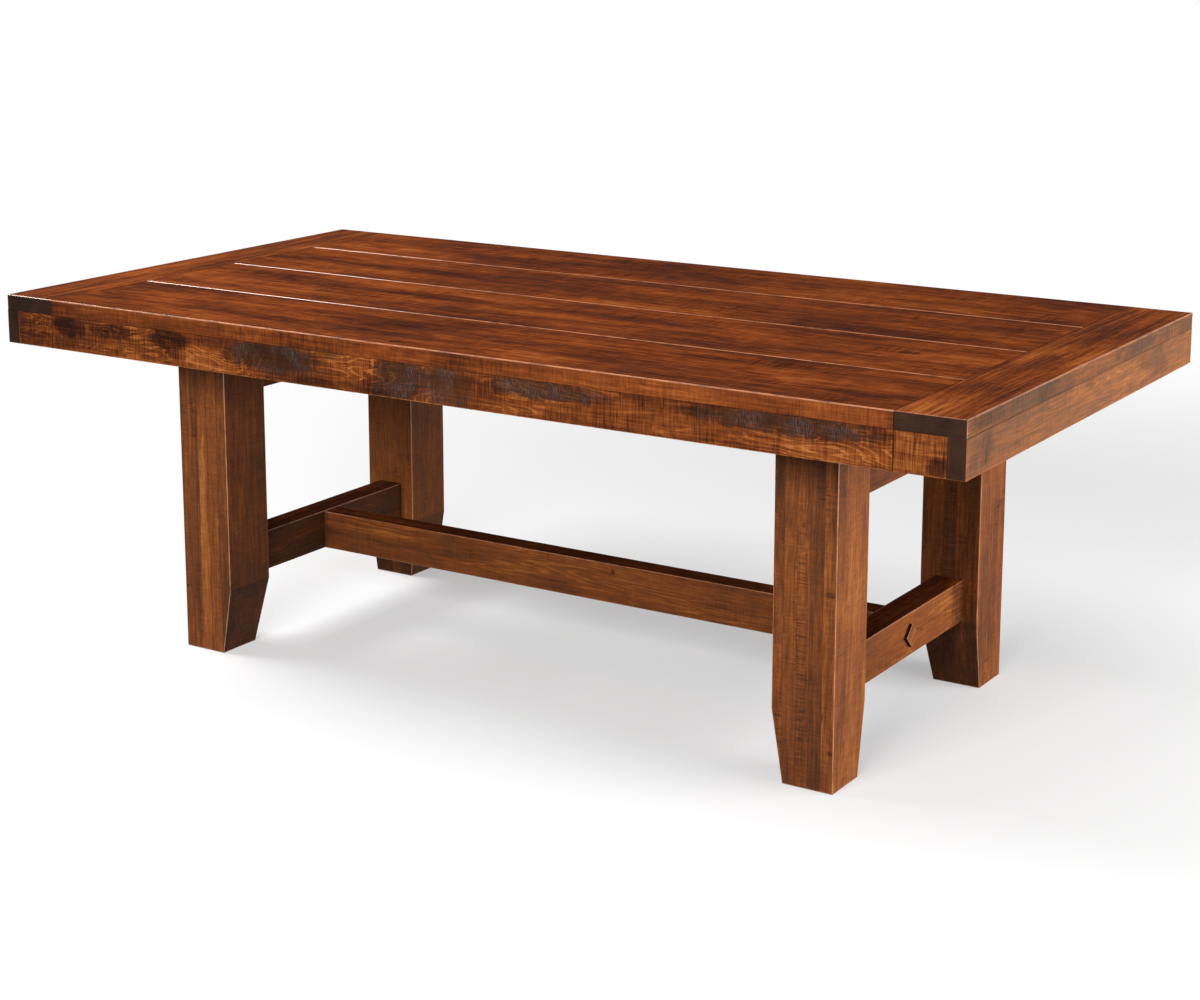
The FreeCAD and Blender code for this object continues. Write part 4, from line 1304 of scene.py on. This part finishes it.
def turned_head(name, rings, sides):
    """The head of a fastener, standing up from 0 along z.

    The first ring lies on the wood or in it, and the last one closes the top or the recess.
    """
    angles = np.arange(sides) * 2 * math.pi / sides
    points, faces = [], [tuple(range(sides - 1, -1, -1))]
    for height, radius, flats in rings:
        reach = np.full(sides, radius)
        if flats:
            share = 2 * math.pi / flats
            reach = radius / np.cos((angles % share) - share / 2)
        points += [(r * math.cos(a), r * math.sin(a), height) for r, a in zip(reach, angles)]
    for base in range(0, (len(rings) - 1) * sides, sides):
        for side in range(sides):
            after, upper = (side + 1) % sides, base + sides
            faces.append((base + side, base + after, upper + after, upper + side))
    faces.append(tuple(range(len(points) - sides, len(points))))
    return add_piece(name, points, faces)


def drive(context, name, places, head, facing, finish="plated steel"):
    """Fasteners of one kind at their places, as one piece."""
    piece = add_piece(name, places, [])
    work_out(
        piece,
        tree_named("Fasteners"),
        {
            "Fastener": head,
            "Facing": facing,
            "Turn": ANY_TURN,
            "Seed": context.scene.table_sizes.seed,
            "Finish": finish_named(finish, context.scene.table_colours),
        },
    )
    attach(piece, "root")
    return piece


def put_away(head):
    """Removes a head that has been copied to all its places."""
    mesh = head.data
    bpy.data.objects.remove(head)
    bpy.data.meshes.remove(mesh)


class TABLE_OT_drive_fasteners(Operator):
    """Drives the screws, top bolts and pegs that show under the table"""

    bl_idname = "table.drive_fasteners"
    bl_label = "Drive the fasteners"

    def execute(self, context):
        joints = plank_joints()
        planks = [((low + high) / 2, high - low) for low, high in zip(joints, joints[1:])]
        self.drive_screws(context, planks)
        self.drive_bolts(context)
        self.drive_pegs(context, [centre for centre, _ in planks])
        return {"FINISHED"}

    def drive_screws(self, context, planks):
        """Two screws up through each batten into each plank, and three through each cleat."""
        screw = turned_head("screw_head", SCREW_RINGS, 18)
        places = []
        for batten in BATTENS:
            for centre, width in planks:
                for y in (centre - width / 4, centre + width / 4):
                    y = max(min(y, LAST_SCREW), -LAST_SCREW)
                    places.append((middle_of(batten, X), y, low_of(batten, Z) + SUNK))
        drive(context, "batten_screws", places, screw, DOWN)
        for cleat, face_of, facing in (("left_cleat", high_of, 1.0), ("right_cleat", low_of, -1.0)):
            x, z = face_of(cleat, X) - SUNK * facing, middle_of(cleat, Z)
            places = [(x, high_of(cleat, Y) * share, z) for share in CLEAT_SCREWS]
            drive(context, cleat + "_screws", places, screw, (facing, 0.0, 0.0))
        put_away(screw)

    def drive_bolts(self, context):
        """Two hexagon bolts, with their washers, up through each cleat."""
        bolt = turned_head("bolt_head", BOLT_RINGS, 24)
        for end in LEFT_AND_RIGHT:
            bolts, washers = end + "_top_bolts", end + "_washers"
            width = high_of(bolts, X) - low_of(bolts, X)
            reach = high_of(bolts, Y) - width * HALF_OVER_FLATS
            base = high_of(washers, Z)
            places = [(middle_of(bolts, X), y, base) for y in (-reach, reach)]
            piece = drive(context, end + "_top_bolt_heads", places, bolt, DOWN)
            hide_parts(bolts, washers)
        put_away(bolt)

    def drive_pegs(self, context, centres):
        """A peg up through each plank's tenon."""
        peg = turned_head("peg_end", PEG_RINGS, 20)
        for end in LEFT_AND_RIGHT:
            pegs = end + "_breadboard_pegs"
            places = [(middle_of(pegs, X), centre, low_of(pegs, Z)) for centre in centres]
            name = end + "_breadboard_peg_ends"
            piece = drive(context, name, places, peg, DOWN, "peg")
            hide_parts(pegs)
        put_away(peg)


class TABLE_OT_plate_hidden_steel(Operator):
    """Gives the tie bolts and barrel nuts inside the stretcher their plated finish"""

    bl_idname = "table.plate_hidden_steel"
    bl_label = "Plate the hidden steel"

    def execute(self, context):
        finish = finish_named("plated steel", context.scene.table_colours)
        for end in LEFT_AND_RIGHT:
            for name in (end + "_tie_bolt", end + "_barrel_nut"):
                for slot in frame["nodes"][name].material_slots:
                    slot.material = finish
        return {"FINISHED"}


# -------------------------------------------------------------------------------- stage

# Each lamp's setting of its strength, the way to it, its size, and how far off it is.
LAMPS = {
    "right_light": ("key", (0.96, 0.16, 0.14), (2.4, 1.6), 3.2),
    "front_light": ("fill", (0.17, -0.89, 0.41), (2.2, 1.1), 4.1),
    "top_light": ("top", (-0.75, -0.12, 0.65), (2.8, 2.2), 6.0),
}
LAMPS_AIM = (0.0, 0.0, 0.45)
CAMERA_PLACE = (2.46641402, -3.84115677, 1.58055452)
CAMERA_TURN = (78.874, 0.117, 32.995)
CAMERA_SHIFT = (0.022674, -0.132318)
CAMERA_SENSOR, CAMERA_REACH = 36.0, 200.0
FLOOR_REACH, FLOOR_LEVEL = 40.0, -0.0006
WHITE = (1.0, 1.0, 1.0, 1.0)


def white_to_the_eye(recipe, lit, share):
    """A shader that the camera, mirrors and glass see as white, and that lights as it is lit."""
    seen = 0.0
    for ray in ("Is Camera Ray", "Is Glossy Ray", "Is Transmission Ray"):
        path = recipe.node("ShaderNodeLightPath", None, None, ray)
        seen = recipe.maths("MAXIMUM", seen, path)
    white = recipe.node("ShaderNodeEmission", None, {"Color": WHITE, "Strength": 1.0})
    return recipe.node("ShaderNodeMixShader", None, {0: seen * share, 1: lit, 2: white})


class TABLE_OT_set_stage(Operator):
    """Sets out the floor, the soft lights and the camera"""

    bl_idname = "table.set_stage"
    bl_label = "Set the stage"

    def execute(self, context):
        scene = context.scene
        stage = scene.table_stage
        self.lay_floor(tuple(stage.floor))
        self.light_sky(scene, stage.sky)
        for name, (setting, towards, size, distance) in LAMPS.items():
            self.hang_lamp(name, getattr(stage, setting), towards, size, distance)
        camera = bpy.data.cameras.new("camera")
        camera.lens = stage.lens
        camera.sensor_width = CAMERA_SENSOR
        camera.shift_x, camera.shift_y = CAMERA_SHIFT
        camera.clip_end = CAMERA_REACH
        stand = bpy.data.objects.new("camera", camera)
        stand.location = CAMERA_PLACE
        stand.rotation_euler = [math.radians(angle) for angle in CAMERA_TURN]
        scene.collection.objects.link(stand)
        scene.camera = stand
        scene.view_settings.view_transform = "Standard"
        return {"FINISHED"}

    def lay_floor(self, colour):
        """A large pale floor that keeps the table's shadow and turns white with distance."""
        corners = ((-1, -1), (1, -1), (1, 1), (-1, 1))
        points = [(x * FLOOR_REACH, y * FLOOR_REACH, FLOOR_LEVEL) for x, y in corners]
        floor = add_piece("floor", points, [(0, 1, 2, 3)])
        material, recipe = new_finish("studio floor")
        away = recipe.length(recipe.here())
        cloud = recipe.noise(recipe.here(), (3.0, 3.0, 3.0), 3.0)
        seen = recipe.node("ShaderNodeLightPath", None, None, "Is Camera Ray")
        shade = recipe.mix(seen, tuple(value * 0.3 for value in colour), colour)
        shade = recipe.mix(cloud * 0.1, shade, tuple(value * 0.8 for value in colour))
        inputs = {"Base Color": shade, "Roughness": 0.9, "Specular IOR Level": 0.0}
        lit = recipe.node("ShaderNodeBsdfPrincipled", None, inputs)
        shader = white_to_the_eye(recipe, lit, 0.4 + away.between(1.6, 4.0) * 0.6)
        recipe.node("ShaderNodeOutputMaterial", None, {"Surface": shader})
        floor.data.materials.append(material)

    def light_sky(self, scene, strength_of_sky):
        """Even light from all round, which the camera sees as white."""
        world = bpy.data.worlds.new("studio")
        world.use_nodes = True
        recipe = Recipe(world.node_tree)
        inputs = {"Color": WHITE, "Strength": strength_of_sky}
        glow = recipe.node("ShaderNodeBackground", None, inputs)
        shader = white_to_the_eye(recipe, glow, 1.0)
        recipe.node("ShaderNodeOutputWorld", None, {"Surface": shader})
        scene.world = world

    def hang_lamp(self, name, light_on_face, towards, size, distance):
        """A soft light that gives a face square to it this much light."""
        light = bpy.data.lights.new(name, "AREA")
        light.shape = "RECTANGLE"
        light.size, light.size_y = size
        light.energy = light_on_face * math.pi**2 * distance**2
        lamp = bpy.data.objects.new(name, light)
        way = np.array(towards) / np.linalg.norm(towards)
        lamp.location = LAMPS_AIM + way * distance
        level = math.hypot(way[X], way[Y])
        lamp.rotation_euler = (math.atan2(level, way[Z]), 0.0, math.atan2(way[X], -way[Y]))
        bpy.context.scene.collection.objects.link(lamp)


# -------------------------------------------------------------------------------- panel


class TABLE_PT_panel(Panel):
    """The table's pieces, sizes and colours"""

    bl_idname = "TABLE_PT_panel"
    bl_label = "Farmhouse table"
    bl_space_type = "VIEW_3D"
    bl_region_type = "UI"
    bl_category = "Table"

    def draw(self, context):
        for name in SETTINGS:
            group = getattr(context.scene, name)
            box = self.layout.box()
            box.label(text=name.removeprefix("table_").capitalize())
            for setting in group.bl_rna.properties.keys():
                if setting not in ("rna_type", "name"):
                    box.prop(group, setting)
        for operator in OPERATORS:
            self.layout.operator(operator.bl_idname)


SETTINGS = {
    "table_sizes": TableSizes,
    "table_colours": TableColours,
    "table_stage": TableStage,
}
OPERATORS = (
    TABLE_OT_lay_planks,
    TABLE_OT_fit_breadboard_ends,
    TABLE_OT_hang_skirts,
    TABLE_OT_stand_legs,
    TABLE_OT_fit_end_rails,
    TABLE_OT_fit_stretchers,
    TABLE_OT_set_bolt_caps,
    TABLE_OT_fit_battens,
    TABLE_OT_drive_fasteners,
    TABLE_OT_plate_hidden_steel,
    TABLE_OT_set_stage,
)


def register():
    """Makes the table's settings, operators and panel known to Blender."""
    for kind in (*SETTINGS.values(), *OPERATORS, TABLE_PT_panel):
        bpy.utils.register_class(kind)
    for name, kind in SETTINGS.items():
        setattr(bpy.types.Scene, name, PointerProperty(type=kind))


def unregister():
    """Takes the table's settings, operators and panel away again."""
    for name in SETTINGS:
        delattr(bpy.types.Scene, name)
    for kind in (TABLE_PT_panel, *OPERATORS, *SETTINGS.values()):
        bpy.utils.unregister_class(kind)


def main():
    """Makes every piece and the stage."""
    register()
    bpy.ops.table.lay_planks()
    bpy.ops.table.fit_breadboard_ends()
    bpy.ops.table.hang_skirts()
    bpy.ops.table.stand_legs()
    bpy.ops.table.fit_end_rails()
    bpy.ops.table.fit_stretchers()
    bpy.ops.table.set_bolt_caps()
    bpy.ops.table.fit_battens()
    bpy.ops.table.drive_fasteners()
    bpy.ops.table.plate_hidden_steel()
    bpy.ops.table.set_stage()


if __name__ == "__main__":
    main()
